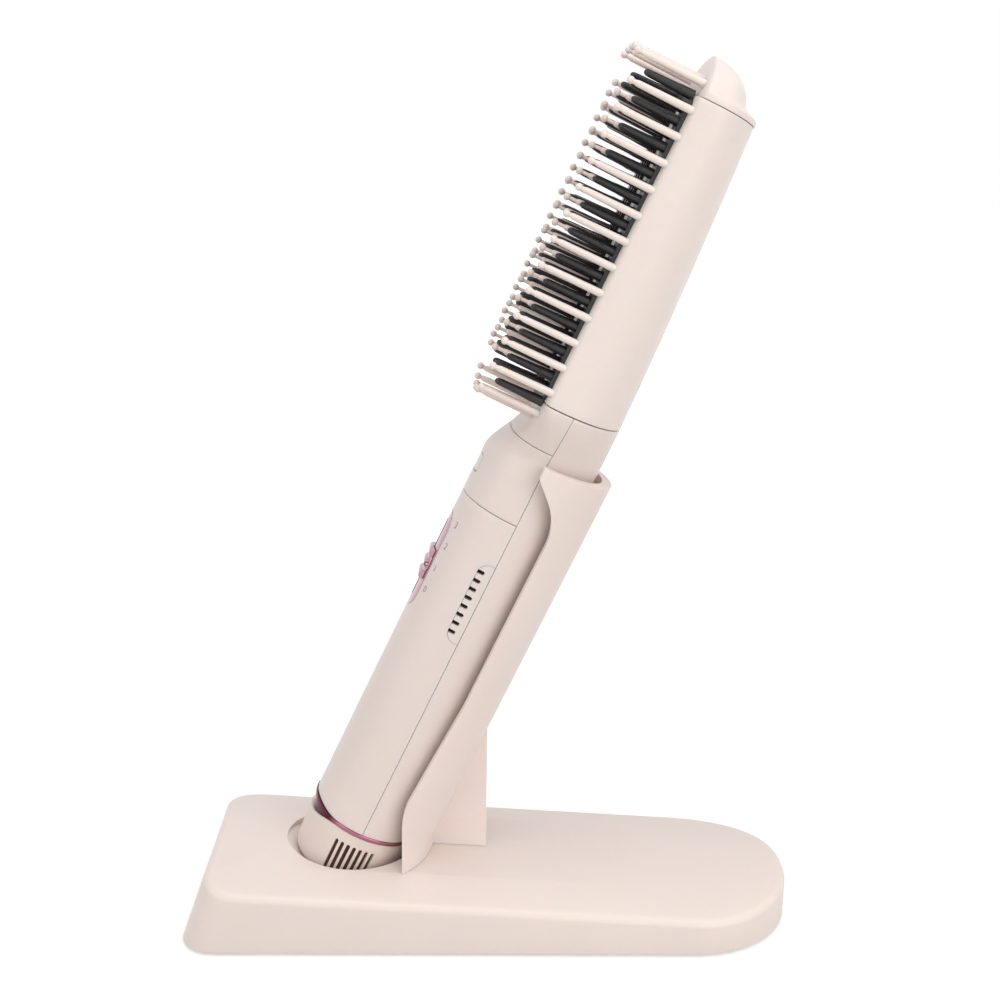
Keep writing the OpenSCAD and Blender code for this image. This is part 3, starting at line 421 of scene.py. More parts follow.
def dock_form(name, inset, low, rolled):
    """The dock's outer form, or its hollow when it is drawn in."""
    left_h = dock_h + math.tan(dock_slope) * dock_l / 2 - low
    turns = range(0, 91, 10) if rolled else [90]
    edge = dock_edge if rolled else 0.0
    rings = []
    for lift in ([0.0, 0.35, dock_foot_edge, 6.0] if rolled else [0.0]):
        tuck = 0.0
        if lift < dock_foot_edge and rolled:
            tuck = dock_foot_edge - math.sqrt(max(0.0, dock_foot_edge ** 2 - (dock_foot_edge - lift) ** 2))
        plan = dock_plan(dock_flare * lift / left_h, inset + 0.6 * tuck)
        rings.append([(x, y, low + lift) for x, y in plan])
    for turn in turns:
        t = math.radians(turn)
        drop = edge * (1 - math.sin(t))
        plan = dock_plan(dock_flare * (left_h - drop) / left_h, inset + edge * (1 - math.cos(t)))
        rings.append([(x, y, dock_top_at(x, y, inset + drop)) for x, y in plan])
    rim = rings[-1]
    for k in range(1, dock_ridge_steps + 1):
        part = (k / dock_ridge_steps) ** 0.9
        ring = []
        for x, y, z in rim:
            keel = min(max(x, -dock_l / 2 + dock_w / 2 + dock_flare), dock_l / 2 - dock_w / 2)
            a = x + (keel - x) * part
            b = y * (1 - part)
            ring.append((a, b, dock_top_at(a, b, inset)))
        rings.append(ring)
    around = len(rings[0])
    faces = rings_faces(len(rings), around)
    faces.append(tuple(range(around)))
    return make(name, [p for ring in rings for p in ring], faces)


def rod_solid(name, r, low, high, matrix=None, sides=144, place=(0, 0)):
    """A cylinder along Z that a cut or a joint needs."""
    outline = circle(place[0], place[1], r, sides)
    return loft(name, [[(x, y, z) for x, y in outline] for z in (low, high)], matrix)


def block(name, low, high, matrix=None):
    """A box that a cut or a joint needs."""
    corners = ((low[0], low[1]), (high[0], low[1]), (high[0], high[1]), (low[0], high[1]))
    return loft(name, [[(x, y, z) for x, y in corners] for z in (low[2], high[2])], matrix)


def prism(name, outline, low, high, matrix=None):
    """A side view, drawn as X and Z, extruded across Y."""
    return loft(name, [[(x, y, z) for x, z in outline] for y in (low, high)], matrix)


dock_pink = moulded("dock_pink", srgb(235, 222, 216), 0.42, grain=0.28, tint=0.012, Subsurface_Weight=milky)
dock_top = dock_form("dock_top", 0.0, dock_low, True)
cup = rod_solid("cup", bore_r + cup_wall, socket_floor - cup_wall, 60, tilt)
cup_room = dock_form("cup_room", dock_wall / 2, dock_low - 1, False)
cut(cup_room, block("below_plate", (-150, -60, -10), (150, 60, plate_top)))
cut(cup, cup_room, "INTERSECT")
cut(dock_top, dock_form("hollow", dock_wall, dock_low - 1, False))
cut(dock_top, cup, "UNION")
cut(dock_top, rod_solid("socket", bore_r, socket_floor, 90, tilt, sides=192))
cut(dock_top, block("inlet_slot", *inlet_slot))
for y in (-contact_y, contact_y):
    hole = rod_solid("contact_hole", contact_hole_r, socket_floor - 10, socket_floor + 5, tilt, 32, (0, y))
    cut(dock_top, hole)
ease(dock_top, 0.45, 42)
fit(dock_top, real, "dock", dock_pink, ["dock_top_shell"])


# The contact block: a black moulding under the socket's floor.
# Two gold-plated spring contacts in it reach up through the floor.
# They are bought pieces pressed into the block.

black_part = moulded("control_black", srgb(44, 43, 45), 0.5, grain=0.35, depth=0.015, tint=0.1)
contact_gold = metal("contact_gold", srgb(214, 172, 88), 0.2, grain=0.15)
coat_node(black_part, "contact_block")
coat_node(contact_gold, "dock_contacts")


# The cradle: one tall moulding, a half tube on the brush's axis with swept wings.
# An upright collar grows from its foot round the socket, and a rib stiffens it behind.
# Two screws from below hold it on the dock, and soft strips line its back.

handle_r = 20.0
cradle_r = 26.2
cradle_z = 151.5
cradle_sides = 240
cradle_low = -60
far = 400
wing_x = 11.4
wing_backs = [(2.6, cradle_low), (2.6, 12), (2.5, 20), (1.4, 40), (0, 62)]
wing_sweep = 22.0
wing_tip = -1.1
rib_t = 5.0
rib_x = -1.6
rib_up = 34
collar_r = 32.0
collar_x = seat_x - 2.2
collar_up = 9
foot_x = collar_x + 21.4
foot_r = 26.0
foot_top = ring_z + 10.7
sweep_x = wing_x - wing_sweep
sweep_z = cradle_z - 25.7
sweep_q = wing_sweep * math.sin(math.pi / 4)
wing_line = ([(wing_x - back, z) for back, z in wing_backs]
             + arc(sweep_x, sweep_z, wing_sweep, 0, 45, 24)
             + [(wing_tip, sweep_z + sweep_q + sweep_x + sweep_q - wing_tip), (wing_tip, cradle_z + 10),
                (-far, cradle_z + 10), (-far, cradle_low)])
spine = rod_solid("cradle", cradle_r, cradle_low, cradle_z, tilt, cradle_sides)
cut(spine, rod_solid("collar", collar_r, 0, ring_z + collar_up, None, cradle_sides, (collar_x, 0)), "UNION")
cut(spine, block("rib", (collar_x, -rib_t / 2, 0), (rib_x, rib_t / 2, ring_z + rib_up)), "UNION")
cut(spine, rod_solid("bore", bore_r, -80, far, tilt, cradle_sides))
cut(spine, prism("wing_cut", wing_line, -80, 80, tilt))
foot_low = foot_top - foot_r * math.tan((math.pi / 2 - lean) / 2)
foot_line = ([(-300, -5), (foot_x, -5)]
             + arc(foot_x + foot_r, foot_low, foot_r, 180, 90 + math.degrees(lean), 16))
cut(spine, prism("collar_front", foot_line + [(-300, foot_line[-1][1])], -200, 200))
keep = block("behind", (-200, -200, cradle_low - 30), (200, 200, 340), tilt)
cut(keep, rod_solid("keep_tube", cradle_r, cradle_low - 31, far, tilt, cradle_sides))
cut(keep, block("keep_front", (0, -300, -200), (far, 300, 200), tilt))
cut(spine, keep)
underside = arc(0, -crown_r, crown_r, 90 + 24, 90 - 24, 96) + [(80, -120), (-80, -120)]
foot_seam = 0.1
on_top = Matrix.Translation((0, 0, dock_h + dock_crown + foot_seam)) @ Matrix.Rotation(dock_slope, 4, "Y")
cut(spine, loft("under_top", [[(x, y, z) for y, z in underside] for x in (-dock_l, dock_l)], on_top))
ease(spine, 0.5, 40, 3)
fit(spine, real, "dock", dock_pink, ["cradle_spine"])
liner_pink = moulded("liner_pink", srgb(209, 189, 179), 0.85, grain=0.6, depth=0.05, tint=0.05,
                     Sheen_Weight=0.3)
coat_node(screw_steel, "cradle_screws")
coat_node(liner_pink, "cradle_pads")


# The handle: two half tubes of satin pink plastic that meet along a fine parting line.
# The front one is cut for the side vents and the slider's track, and ends at the switch cover.
# The back one runs on up into the back of the neck without a visible joint.

seam = 0.24
parting_gap = 0.12
shell_t = 2.2
shell_edge = 0.3
shell_around = 72
cover_z = 128.0
cover_l = 27.5
head_z = 171.0
head_l = 108.0
cap_z = head_z + head_l
head_hw = 27.0
rail_w = 10.6
swell_z = cover_z + 20
shoulder_z = cover_z + 17
neck_z = cover_z + cover_l + 4.5
neck_top = head_z - 0.4
rail_drop = 0.6
body_mid = 3.0
head_square = 0.64
back_taper = 6.5
back_lead = 16
ring_t = 1.7
ring_rise = 1.8
ring_dip = 3.6
ring_step = 0.3
ring_lens = [(-24, 1), (-19.6, 0.95), (-18, 0.8), (-16.4, 0.55), (-14.4, 0.25), (-12.4, 0.08), (-10, 0),
             (24, 0)]


def eased(t):
    """Goes smoothly from 0 to 1."""
    u = min(1.0, max(0.0, t))
    return u * u * (3 - 2 * u)


def through(table, at):
    """A value read from a table of places and values, along a soft curve through them."""
    if at <= table[0][0]:
        return table[0][1]
    for n in range(len(table) - 1):
        (x0, y0), (x1, y1) = table[n], table[n + 1]
        if at <= x1:
            t = (at - x0) / (x1 - x0)
            gap = x1 - x0
            run = (y1 - y0) / gap
            m0 = m1 = run
            if n > 0:
                before = (y0 - table[n - 1][1]) / (x0 - table[n - 1][0])
                m0 = 0.0 if before * run <= 0 else 2 / (1 / before + 1 / run)
            if n + 2 < len(table):
                after = (table[n + 2][1] - y1) / (table[n + 2][0] - x1)
                m1 = 0.0 if after * run <= 0 else 2 / (1 / after + 1 / run)
            return ((2 * t ** 3 - 3 * t ** 2 + 1) * y0 + (t ** 3 - 2 * t ** 2 + t) * gap * m0
                    + (-2 * t ** 3 + 3 * t ** 2) * y1 + (t ** 3 - t ** 2) * gap * m1)
    return table[-1][1]


def skin(z, angle, inset):
    """A point of the brush's outside at a height: a round handle that grows into a D-shaped head."""
    b = eased((z - swell_z) / (head_z - swell_z))
    half = handle_r + (head_hw - handle_r) * b - inset
    front = handle_r - (handle_r - rail_w - rail_drop) * eased((z - shoulder_z) / (neck_z + 4 - shoulder_z))
    back = handle_r - back_taper * (max(0.0, z - head_z + back_lead) / (head_l + back_lead)) ** 1.5
    f = front - body_mid * b - inset
    r = back + body_mid * b - inset
    q = 1 - head_square * b
    s, c = math.sin(angle), math.cos(angle)
    if s > 0:
        return Vector((r * s - body_mid * b, half * c, z))
    return Vector((-f * abs(s) ** q - body_mid * b, half * math.copysign(abs(c) ** q, c), z))


def parting(z, x):
    """Angle, on the far side, at which the outside passes a plane of constant X."""
    low, high = -math.pi / 2, math.pi / 2
    for _ in range(40):
        middle = (low + high) / 2
        if skin(z, middle, 0).x < x:
            low = middle
        else:
            high = middle
    return low


def stops(count, length):
    """Places along a wall, from 0 to 1, set close together where its edges are rolled."""
    near = [shell_edge * (1 - math.cos(math.radians(t))) / length for t in (0, 22, 45, 67, 90)]
    middle = [near[-1] + (1 - 2 * near[-1]) * i / count for i in range(1, count)]
    return near + middle + [1 - v for v in reversed(near)]


def wall(name, start, end, low, high, around, along):
    """A curved wall with rolled outside edges. start and end give its angles at a height."""
    z_mid = (low(0.0) + high) / 2
    width = abs(end(z_mid) - start(z_mid)) * handle_r
    us = stops(around, width)
    vs = stops(along, high - low(0.0))
    outer, inside = [], []
    for v in vs:
        for u in us:
            guess = start(z_mid) + (end(z_mid) - start(z_mid)) * u
            base = low(guess)
            z = base + (high - base) * v
            du = shell_edge - min(u * width, (1 - u) * width, shell_edge)
            dv = shell_edge - min(v * (high - base), (1 - v) * (high - base), shell_edge)
            inset = shell_edge - math.sqrt(max(0.0, shell_edge ** 2 - du * du - dv * dv))
            angle = start(z) + (end(z) - start(z)) * u
            outer.append(skin(z, angle, inset))
            inside.append(skin(z, angle, shell_t))
    wide, tall = len(us), len(vs)
    total = wide * tall
    faces = []
    for i in range(tall - 1):
        for j in range(wide - 1):
            a = i * wide + j
            faces.append((a, a + 1, a + wide + 1, a + wide))
            faces.append((total + a, total + a + wide, total + a + wide + 1, total + a + 1))
    rims = [(a, a + 1) for j in range(wide - 1) for a in (j, (tall - 1) * wide + j)]
    rims += [(a, a + wide) for i in range(tall - 1) for a in (i * wide, i * wide + wide - 1)]
    faces += [(a, b, total + b, total + a) for a, b in rims]
    return make(name, outer + inside, faces)


def ring_top(angle):
    """Upper edge of the accent ring at an angle of the handle."""
    return ring_t / 2 + ring_rise * through(ring_lens, skin(0, angle, 0).x)


def above_ring(angle):
    """Lower edge of the handle's shells, a seam above the accent ring."""
    return ring_top(angle) + seam / 2


def front_from(z):
    """Angle at which the front shell starts."""
    return math.pi - parting(z, -parting_gap / 2)


def front_to(z):
    """Angle at which the front shell ends."""
    return 2 * math.pi + parting(z, -parting_gap / 2)


def back_from(z):
    """Angle at which the back shell starts."""
    return parting(z, parting_gap / 2)


def back_to(z):
    """Angle at which the back shell ends."""
    return math.pi - parting(z, parting_gap / 2)


def stadium(length, width, grow):
    """Outline of a slot along the handle."""
    r = width / 2 + grow
    return arc(length / 2 - width / 2, 0, r, -90, 90, 16) + arc(-length / 2 + width / 2, 0, r, 90, 270, 16)


def front_tool(name, outline, at, bottom, height=24.0):
    """A cutter for the front wall, down to a cylinder of radius bottom or to a flat place."""
    rings = []
    for layer in (0, 1):
        ring = []
        for along, side in outline:
            deep = math.sqrt(max(0.0, bottom * bottom - side * side)) if bottom > 12 else bottom
            ring.append((-(deep if layer == 0 else height), side, at + along))
        rings.append(ring)
    return loft(name, rings)


def vent_outline(edge, gap):
    """Outline of a vent's window or, drawn in by a gap, of its panel, from an upright edge."""
    r = vent_r - gap
    return ([(edge, gap - vent_l / 2), (edge, vent_l / 2 - gap)]
            + arc(vent_r - vent_w, vent_l / 2 - vent_r, r, 90, 180, 10)
            + arc(vent_r - vent_w, vent_r - vent_l / 2, r, 180, 270, 10))


track_l = 38.0
track_w = 13.0
track_z = 100.5
track_t = 0.9
track_gap = 0.1
slider_l = 12.0
slider_z = track_z - 1.8
slot_l = 2 * ((track_l - slider_l) / 2 - 0.6) + 6
slot_w = 2.8
slot_deep = 8.0
vent_l = 31.0
vent_w = 5.3
vent_r = 4.0
vent_z = track_z - track_l / 2 - 0.7 + vent_l / 2
handle_pink = moulded("handle_pink", srgb(231, 218, 212), 0.4, grain=0.22, depth=0.008, tint=0.012,
                      Subsurface_Weight=milky)
front_shell = wall("handle_front", front_from, front_to, above_ring, cover_z - seam / 2, shell_around, 60)
window = [(x, z + vent_z) for x, z in vent_outline(1.0, 0)]
cut(front_shell, prism("vent_window", window, -2 * handle_r, 2 * handle_r))
track_bed = handle_r - track_t - track_gap
cut(front_shell, front_tool("track_seat", stadium(track_l, track_w, track_gap), track_z, track_bed))
cut(front_shell, front_tool("track_slot", stadium(slot_l, slot_w, track_gap), track_z, slot_deep))
fit(front_shell, in_brush, "brush", handle_pink, ["handle_front_shell"])
rear_shell = wall("handle_rear", back_from, back_to, above_ring, neck_top, shell_around, 120)
fit(rear_shell, in_brush, "brush", handle_pink, ["handle_rear_shell", "neck_rear"])


# The accent ring: a plated plastic ring in rose chrome between handle and foot.
# It widens into a lens at the front and stands a hair proud of the handle.
# It is clipped over the foot cap's sleeve before the shells close.

ring_profile = [(-6, -1.3), (-3.6, -1.2), (-1.4, -0.8), (0.6, -0.2), (1.6, 0), (5, 0)]
ring_steps = 180
ring_edge = 0.3
ring_root = 16.2
ring_roll = [(ring_edge * (math.sin(math.radians(t)) - 1), ring_edge * (1 - math.cos(math.radians(t))))
             for t in (0, 30, 60, 90)]
ring_rings = []
for step in range(ring_steps):
    turn = 2 * math.pi * step / ring_steps
    lens_part = through(ring_lens, -handle_r * math.cos(turn))
    low_z = -ring_t / 2 - ring_dip * lens_part
    high_z = ring_t / 2 + ring_rise * lens_part
    face_h = high_z - low_z - 2 * ring_edge
    section = ([(r, low_z + z) for r, z in ring_roll]
               + [(0, low_z + ring_edge + face_h * part) for part in (0.2, 0.4, 0.6, 0.8)]
               + [(r, high_z - z) for r, z in reversed(ring_roll)])
    section = [(r + handle_r + ring_step + through(ring_profile, z), z) for r, z in section]
    section = [(ring_root, low_z)] + section + [(ring_root, high_z)]
    ring_rings.append([(-r * math.cos(turn), -r * math.sin(turn), z) for r, z in section])
accent = loft("accent_ring_trim", ring_rings, joined=True)


def along_brush(tree):
    """The place on the brush in millimetres, as X, Y and Z along its own axis."""
    place = shader_node(tree, "ShaderNodeTexCoord")
    turn = shader_node(tree, "ShaderNodeMapping", Location=in_brush.inverted().translation,
                       Rotation=(0, lean - math.pi / 2, 0), Scale=(1000, 1000, 1000))
    parts = shader_node(tree, "ShaderNodeSeparateXYZ")
    tree.links.new(place.outputs["Object"], turn.inputs["Vector"])
    tree.links.new(turn.outputs["Vector"], parts.inputs["Vector"])
    return parts.outputs


# The ring's colour is its rose chrome with painted reflections: a dark wine reflection is painted on its
# front side, and paler lilac and mauve highlights are painted towards its silhouettes.
rose_chrome, chrome_tree, chrome_shader = finish("rose_chrome", Metallic=1.0)
painted_reflection_mask = shader_node(chrome_tree, "ShaderNodeMapRange", From_Min=-9.5, From_Max=-13.0)
chrome_tree.links.new(along_brush(chrome_tree)["X"], painted_reflection_mask.inputs["Value"])
painted_highlight_weight = shader_node(chrome_tree, "ShaderNodeLayerWeight", Blend=0.3)
painted_highlight_mask = painted_highlight_weight.outputs["Facing"]
painted_reflection_mix = shader_node(chrome_tree, "ShaderNodeMixRGB")
dress(chrome_tree, painted_reflection_mix, Fac=painted_reflection_mask.outputs["Result"],
      Color1=ramp(chrome_tree, painted_highlight_mask, 0.1, 0.9, srgb(184, 116, 144), srgb(214, 168, 188)),
      Color2=ramp(chrome_tree, painted_highlight_mask, 0.5, 0.85, srgb(86, 38, 52), srgb(196, 166, 184)))
dress(chrome_tree, chrome_shader, Base_Color=painted_reflection_mix.outputs["Color"],
      Roughness=spread(chrome_tree, noise(chrome_tree, 300), 0.08, 0.14),
      Normal=emboss(chrome_tree, noise(chrome_tree, 120, 2), 0.02))
fit(accent, in_brush, "brush", rose_chrome, ["accent_ring"])


# The foot cap: a moulded cup that closes the handle's lower end.
# Dark screens lie in the seven upright slots of each side, which let the warm air out.
# Two gold contact pads are pressed into its bottom.

def joined(name, pieces):
    """One piece made of several that are moulded together."""
    base = pieces[0]
    work = bmesh.new()
    for piece in pieces:
        work.from_mesh(piece.data)
    work.to_mesh(base.data)
    work.free()
    for piece in pieces[1:]:
        bpy.data.objects.remove(piece)
    base.name = name
    return base


foot_slots = 7
foot_slot_turn = 6.9
screen_hw = 0.63
screen_z = -foot_l / 2 - 2
foot_pink = moulded("foot_pink", srgb(229, 215, 207), 0.45, grain=0.25, depth=0.01, tint=0.015,
                    Subsurface_Weight=milky)
coat_node(foot_pink, "foot_cap")
coat_node(contact_gold, "foot_contacts")
foot_dark = moulded("foot_dark", srgb(84, 48, 30), 0.8, grain=0.5, depth=0.04, tint=0.15)
screen_outline = [(-screen_hw, -5.56), (screen_hw, -5.56)] + arc(0, 7.1, screen_hw, 0, 180, 8)
screen_rings = [[(a, -deep, b + screen_z) for a, b in screen_outline] for deep in (15.9, 18.35)]
screens = []
for side in (-1, 1):
    for i in range(foot_slots):
        turn = 90 + side * 90 + (i - (foot_slots - 1) / 2) * foot_slot_turn + side
        screens.append(loft("foot_screen", screen_rings, Matrix.Rotation(math.radians(turn), 4, "Z")))
fit(joined("foot_screens", screens), in_brush, "brush", foot_dark)


# The side vents: curved louvre panels let into the front shell at the parting line.
# Dark filter cloth lies behind their slots.
# Both are pushed in from inside before the shells are closed.

filter_cloth, cloth_tree, cloth_shader = finish("filter_cloth", Roughness=0.9)
cloth_place = shader_node(cloth_tree, "ShaderNodeTexCoord")
weaves = []
for turn in (0.0, math.pi / 2):
    turned_cloth = shader_node(cloth_tree, "ShaderNodeMapping", Rotation=(0, math.pi / 2 - lean, turn))
    thread = shader_node(cloth_tree, "ShaderNodeTexWave", Scale=700)
    cloth_tree.links.new(cloth_place.outputs["Object"], turned_cloth.inputs["Vector"])
    cloth_tree.links.new(turned_cloth.outputs["Vector"], thread.inputs["Vector"])
    weaves.append(thread.outputs["Fac"])
weave = reckon(cloth_tree, "MULTIPLY", *weaves)
dress(cloth_tree, cloth_shader,
      Base_Color=ramp(cloth_tree, weave, 0.1, 0.8, srgb(34, 18, 12), srgb(64, 38, 28)),
      Normal=emboss(cloth_tree, weave, 0.1))
vent_slots = 8
vent_slot_hw = 0.75
vent_step = (vent_l - 7.4) / (vent_slots - 1)
vent_slot = ([(-vent_w - 1, -vent_slot_hw)] + arc(-vent_w + 2, 0, vent_slot_hw, -90, 90, 12)
             + [(-vent_w - 1, vent_slot_hw)])
vent_face = handle_r - 0.06
vent_back = handle_r - 1.4
pane = [(x, z + vent_z) for x, z in vent_outline(-parting_gap, parting_gap)]
for side, name in ((1, "left"), (-1, "right")):
    vent = rod_solid("vent_" + name + "_panel", vent_face, vent_z - 20, vent_z + 20, sides=360)
    cut(vent, rod_solid("vent_room", vent_back, vent_z - 21, vent_z + 21, sides=180))
    cut(vent, prism("vent_shape", pane, *sorted((0, side * 2 * handle_r))), "INTERSECT")
    for i in range(vent_slots):
        middle = vent_z + (i - (vent_slots - 1) / 2) * vent_step
        cut(vent, prism("vent_slot", [(x, z + middle) for x, z in vent_slot], -2 * handle_r, 2 * handle_r))
    fit(vent, in_brush, "brush", handle_pink, ["vent_" + name])
coat_node(filter_cloth, "vent_filters")


# The heat slider: a ridged thumb piece in rose metallic plastic on a track of the same.
# Its stem goes through the track's slot to the control on the board.
# A small ring is printed on each end of its middle ridge.

rose_metallic = moulded("rose_metallic", srgb(184, 142, 157), 0.26, grain=0.12, depth=0.004, tint=0.06,
                        Metallic=0.6, Coat_Weight=0.4)
coat_node(rose_metallic, "slider_track")
board_face = -11 - 1.6
ridge_r = 1.4
ridge_half = track_w / 2 - 1.5
ridge_edge = 0.3
ridge_sides = 40
ridge_x = -handle_r - 0.1


def ridge_bar(z):
    """A short bar across the brush with rounded ends."""
    ends = []
    for t in (90, 60, 30, 0):
        a = math.radians(t)
        ends.append((-ridge_half + ridge_edge * (1 - math.sin(a)), ridge_r - ridge_edge * (1 - math.cos(a))))
    ends += [(-y, radius) for y, radius in reversed(ends)]
    return loft("ridge", [[(a, y, b) for a, b in circle(ridge_x, z, r, ridge_sides)] for y, r in ends])


ridge_step = slider_l * 0.37
grip_under = handle_r + 0.25
grip_face = handle_r + 0.75
grip_low, grip_high = slider_z - 20, slider_z + 20
grip = rod_solid("slider_grip", grip_face, slider_z - slider_l, slider_z + slider_l, sides=360)
cut(grip, rod_solid("grip_room", grip_under, grip_low, grip_high, sides=360))
cut(grip, front_tool("grip_plan", stadium(slider_l, track_w - 1.6, 0), slider_z, 10.0), "INTERSECT")
ease(grip, 0.15, 50)
grip_parts = [grip]
for place in (-1, 0, 1):
    ridge_room = rod_solid("ridge_room", handle_r + 0.3, grip_low, grip_high, sides=180)
    grip_parts.append(cut(ridge_bar(slider_z + place * ridge_step), ridge_room))
stem = ((-handle_r - 0.5, -1.1, slider_z - 2), (board_face - 3.4, 1.1, slider_z + 2))
stem_tip = ((board_face - 4.0, -0.6, slider_z - 1.4), (board_face - 2.0, 0.6, slider_z + 1.4))
grip_parts += [block("stem", *stem), block("stem_tip", *stem_tip)]
fit(joined("slider_grip", grip_parts), in_brush, "slider", rose_metallic, ["heat_slider"])
ink_wine = moulded("ink_wine", srgb(104, 38, 62), 0.5, grain=0.2, depth=0.002, tint=0.05)
ink_white = moulded("ink_white", srgb(240, 232, 232), 0.5, grain=0.2, depth=0.002, tint=0.02)
mark_x = ridge_x - 0.35
marks = (("ring_mark", 0.85, 0.4, ink_wine), ("ring_centre", 0.38, 0.02, ink_white))
for side in (-1, 1):
    end = side * ridge_half
    for name, outer, inner, ink in marks:
        y0, y1 = end - side * 0.02, end + side * 0.03
        rings = [[(a, y, b) for a, b in circle(mark_x, slider_z, r, ridge_sides)]
                 for r, y in ((inner, y0), (outer, y0), (outer, y1), (inner, y1))]
        mark = loft("slider_" + name, rings, joined=inner > 0.1)
        fit(mark, in_brush, "slider", ink)
coat_node(black_part, "slide_control")


# The heat settings: four plain numbers printed beside the track in brown ink.
# They run from 3 at the top to 0 at the bottom, on the side of the hand.
# Their ink is a few hundredths of a millimetre thick.

ink_brown = moulded("ink_brown", srgb(132, 94, 86), 0.6, grain=0.2, depth=0.002, tint=0.05)
ink_half = 0.02
settings_turn = math.radians(28.6)
settings = []
for number, height in (("3", 116.9), ("2", 108.5), ("1", 99.6), ("0", 91.4)):
    curve = bpy.data.curves.new("setting_" + number, "FONT")
    curve.body = number
    curve.size = 3.5
    curve.align_x = "CENTER"
    curve.align_y = "CENTER"
    curve.extrude = ink_half
    curve.offset = -0.05
    curve.resolution_u = 6
    writing = bpy.data.objects.new("setting_" + number, curve)
    bpy.context.scene.collection.objects.link(writing)
    graph = bpy.context.evaluated_depsgraph_get()
    flat = bpy.data.meshes.new_from_object(writing.evaluated_get(graph))
    bpy.data.objects.remove(writing)
    for point in flat.vertices:
        u, v, w = point.co
        a = settings_turn + u / handle_r
        r = handle_r + ink_half + w
        point.co = (-r * math.cos(a), -r * math.sin(a), height + v)
    setting = bpy.data.objects.new("setting_" + number, flat)
    bpy.context.scene.collection.objects.link(setting)
    settings.append(setting)
fit(joined("heat_settings", settings), in_brush, "brush", ink_brown)


# The switch cover: a curved front panel over the switches, screwed from behind.
# Its lower seam runs round the handle's front and it carries the power button.
# The clear indicator lens sits below the button, and the button works a small switch.

button_z = cover_z + 11.5
button_hole = (7.0, 12.4)
button_corner = 1.6
lens_z = cover_z + 3.4
lens_r = 0.75


def soft_box(length, width, r):
    """Outline of a box with round corners."""
    a = length / 2 - r
    b = width / 2 - r
    return (arc(a, -b, r, -90, 0, 6) + arc(a, b, r, 0, 90, 6)
            + arc(-a, b, r, 90, 180, 6) + arc(-a, -b, r, 180, 270, 6))


cover_low = cover_z + seam / 2
cover_high = cover_z + cover_l - seam / 2
cover = wall("cover", front_from, front_to, lambda angle: cover_low, cover_high, shell_around, 24)
cut(cover, front_tool("button_hole", soft_box(*button_hole, button_corner), button_z, slot_deep))
cut(cover, front_tool("lens_hole", arc(0, 0, lens_r, 0, 345, 23), lens_z, slot_deep))
fit(cover, in_brush, "brush", handle_pink, ["switch_cover"])
lens_clear, lens_tree, lens_shader = finish("lens_clear", Transmission_Weight=0.85, IOR=1.49, Coat_Weight=0.3)
dress(lens_tree, lens_shader,
      Base_Color=ramp(lens_tree, noise(lens_tree, 900), 0.4, 0.6, srgb(186, 180, 178), srgb(204, 198, 196)),
      Roughness=spread(lens_tree, noise(lens_tree, 700), 0.12, 0.2))
coat_node(handle_pink, "power_button")
coat_node(lens_clear, "indicator_lens")
coat_node(black_part, "button_switch")


# Inside the handle: the control board, and two round cells in their shrink wrap and tray.
# Screws from behind pull the switch cover back.
# The tray rests on the back shell and the board on two ribs of the front shell.

cell_wrap = moulded("cell_wrap", srgb(52, 104, 158), 0.28, grain=0.8, depth=0.02, tint=0.1, Coat_Weight=0.3)
tray_white = moulded("tray_white", srgb(224, 224, 220), 0.6, grain=0.4, depth=0.02)
coat_node(board_green, "control_board")
coat_node(cell_wrap, "battery_cells")
coat_node(tray_white, "battery_tray")
coat_node(screw_steel, "cover_screws")


# The neck's front: a moulding where the round handle spreads into the flat head.
# It carries three rods on each side, just below the heated field.
# It is held between the switch cover, the head and the handle's back shell.

pitch = 9.0
rods = 12
rod_y = 24.4
rod_h = 22.0
end_bow = 3.8
field_z = head_z + head_l / 2 - 0.5
rod_z0 = field_z - (rods - 1) * pitch / 2
field_hl = (rods - 1) * pitch / 2 + 7.2
field_hw = rod_y - 1.5
field_r = 4.0
field_gap = 0.15
bow_r = (field_hw ** 2 + end_bow ** 2) / (2 * end_bow)
end_rods = [(20.6, 4.6), (12.6, 7.0), (4.2, 8.2)]
neck_rod_sunk = 1.4


def field_tool(name):
    """The space that the heated field takes, with its bowed ends, in the shells round it."""
    r = field_r + field_gap
    big = bow_r + field_gap
    w = field_hw + field_gap - r
    b = math.degrees(math.asin(w / (big - r)))
    x0 = field_hl - bow_r
    x1 = x0 + (big - r) * math.cos(math.radians(b))
    plan = (arc(x1, -w, r, -90, -b, 8) + arc(x0, 0, big, -b, b, 24)[1:-1] + arc(x1, w, r, b, 90, 8)
            + arc(-x1, w, r, 90, 180 - b, 8) + arc(-x0, 0, big, 180 - b, 180 + b, 24)[1:-1]
            + arc(-x1, -w, r, 180 + b, 270, 8))
    return front_tool(name, plan, field_z, 0.0, 40.0)


def turned(profile, z, y, base, sides=20):
    """A rod turned about its own axis, standing on the brush's front at a height base."""
    points = []
    for radius, up in profile:
        for j in range(sides):
            a = 2 * math.pi * (j + 0.5) / sides
            points.append((-(base + up), y + radius * math.cos(a), z + radius * math.sin(a)))
    tip = len(points)
    points.append((-(base + profile[-1][1] + 0.02), y, z))
    faces = rings_faces(len(profile), sides)
    faces.append(tuple(range(sides)))
    last = tip - sides
    faces += [(last + j, last + (j + 1) % sides, tip) for j in range(sides)]
    return points, faces


def row(name, pins):
    """Several turned rods as one mesh."""
    points, faces = [], []
    for pin_points, pin_faces in pins:
        start = len(points)
        points += pin_points
        faces += [tuple(start + v for v in face) for face in pin_faces]
    return make(name, points, faces)


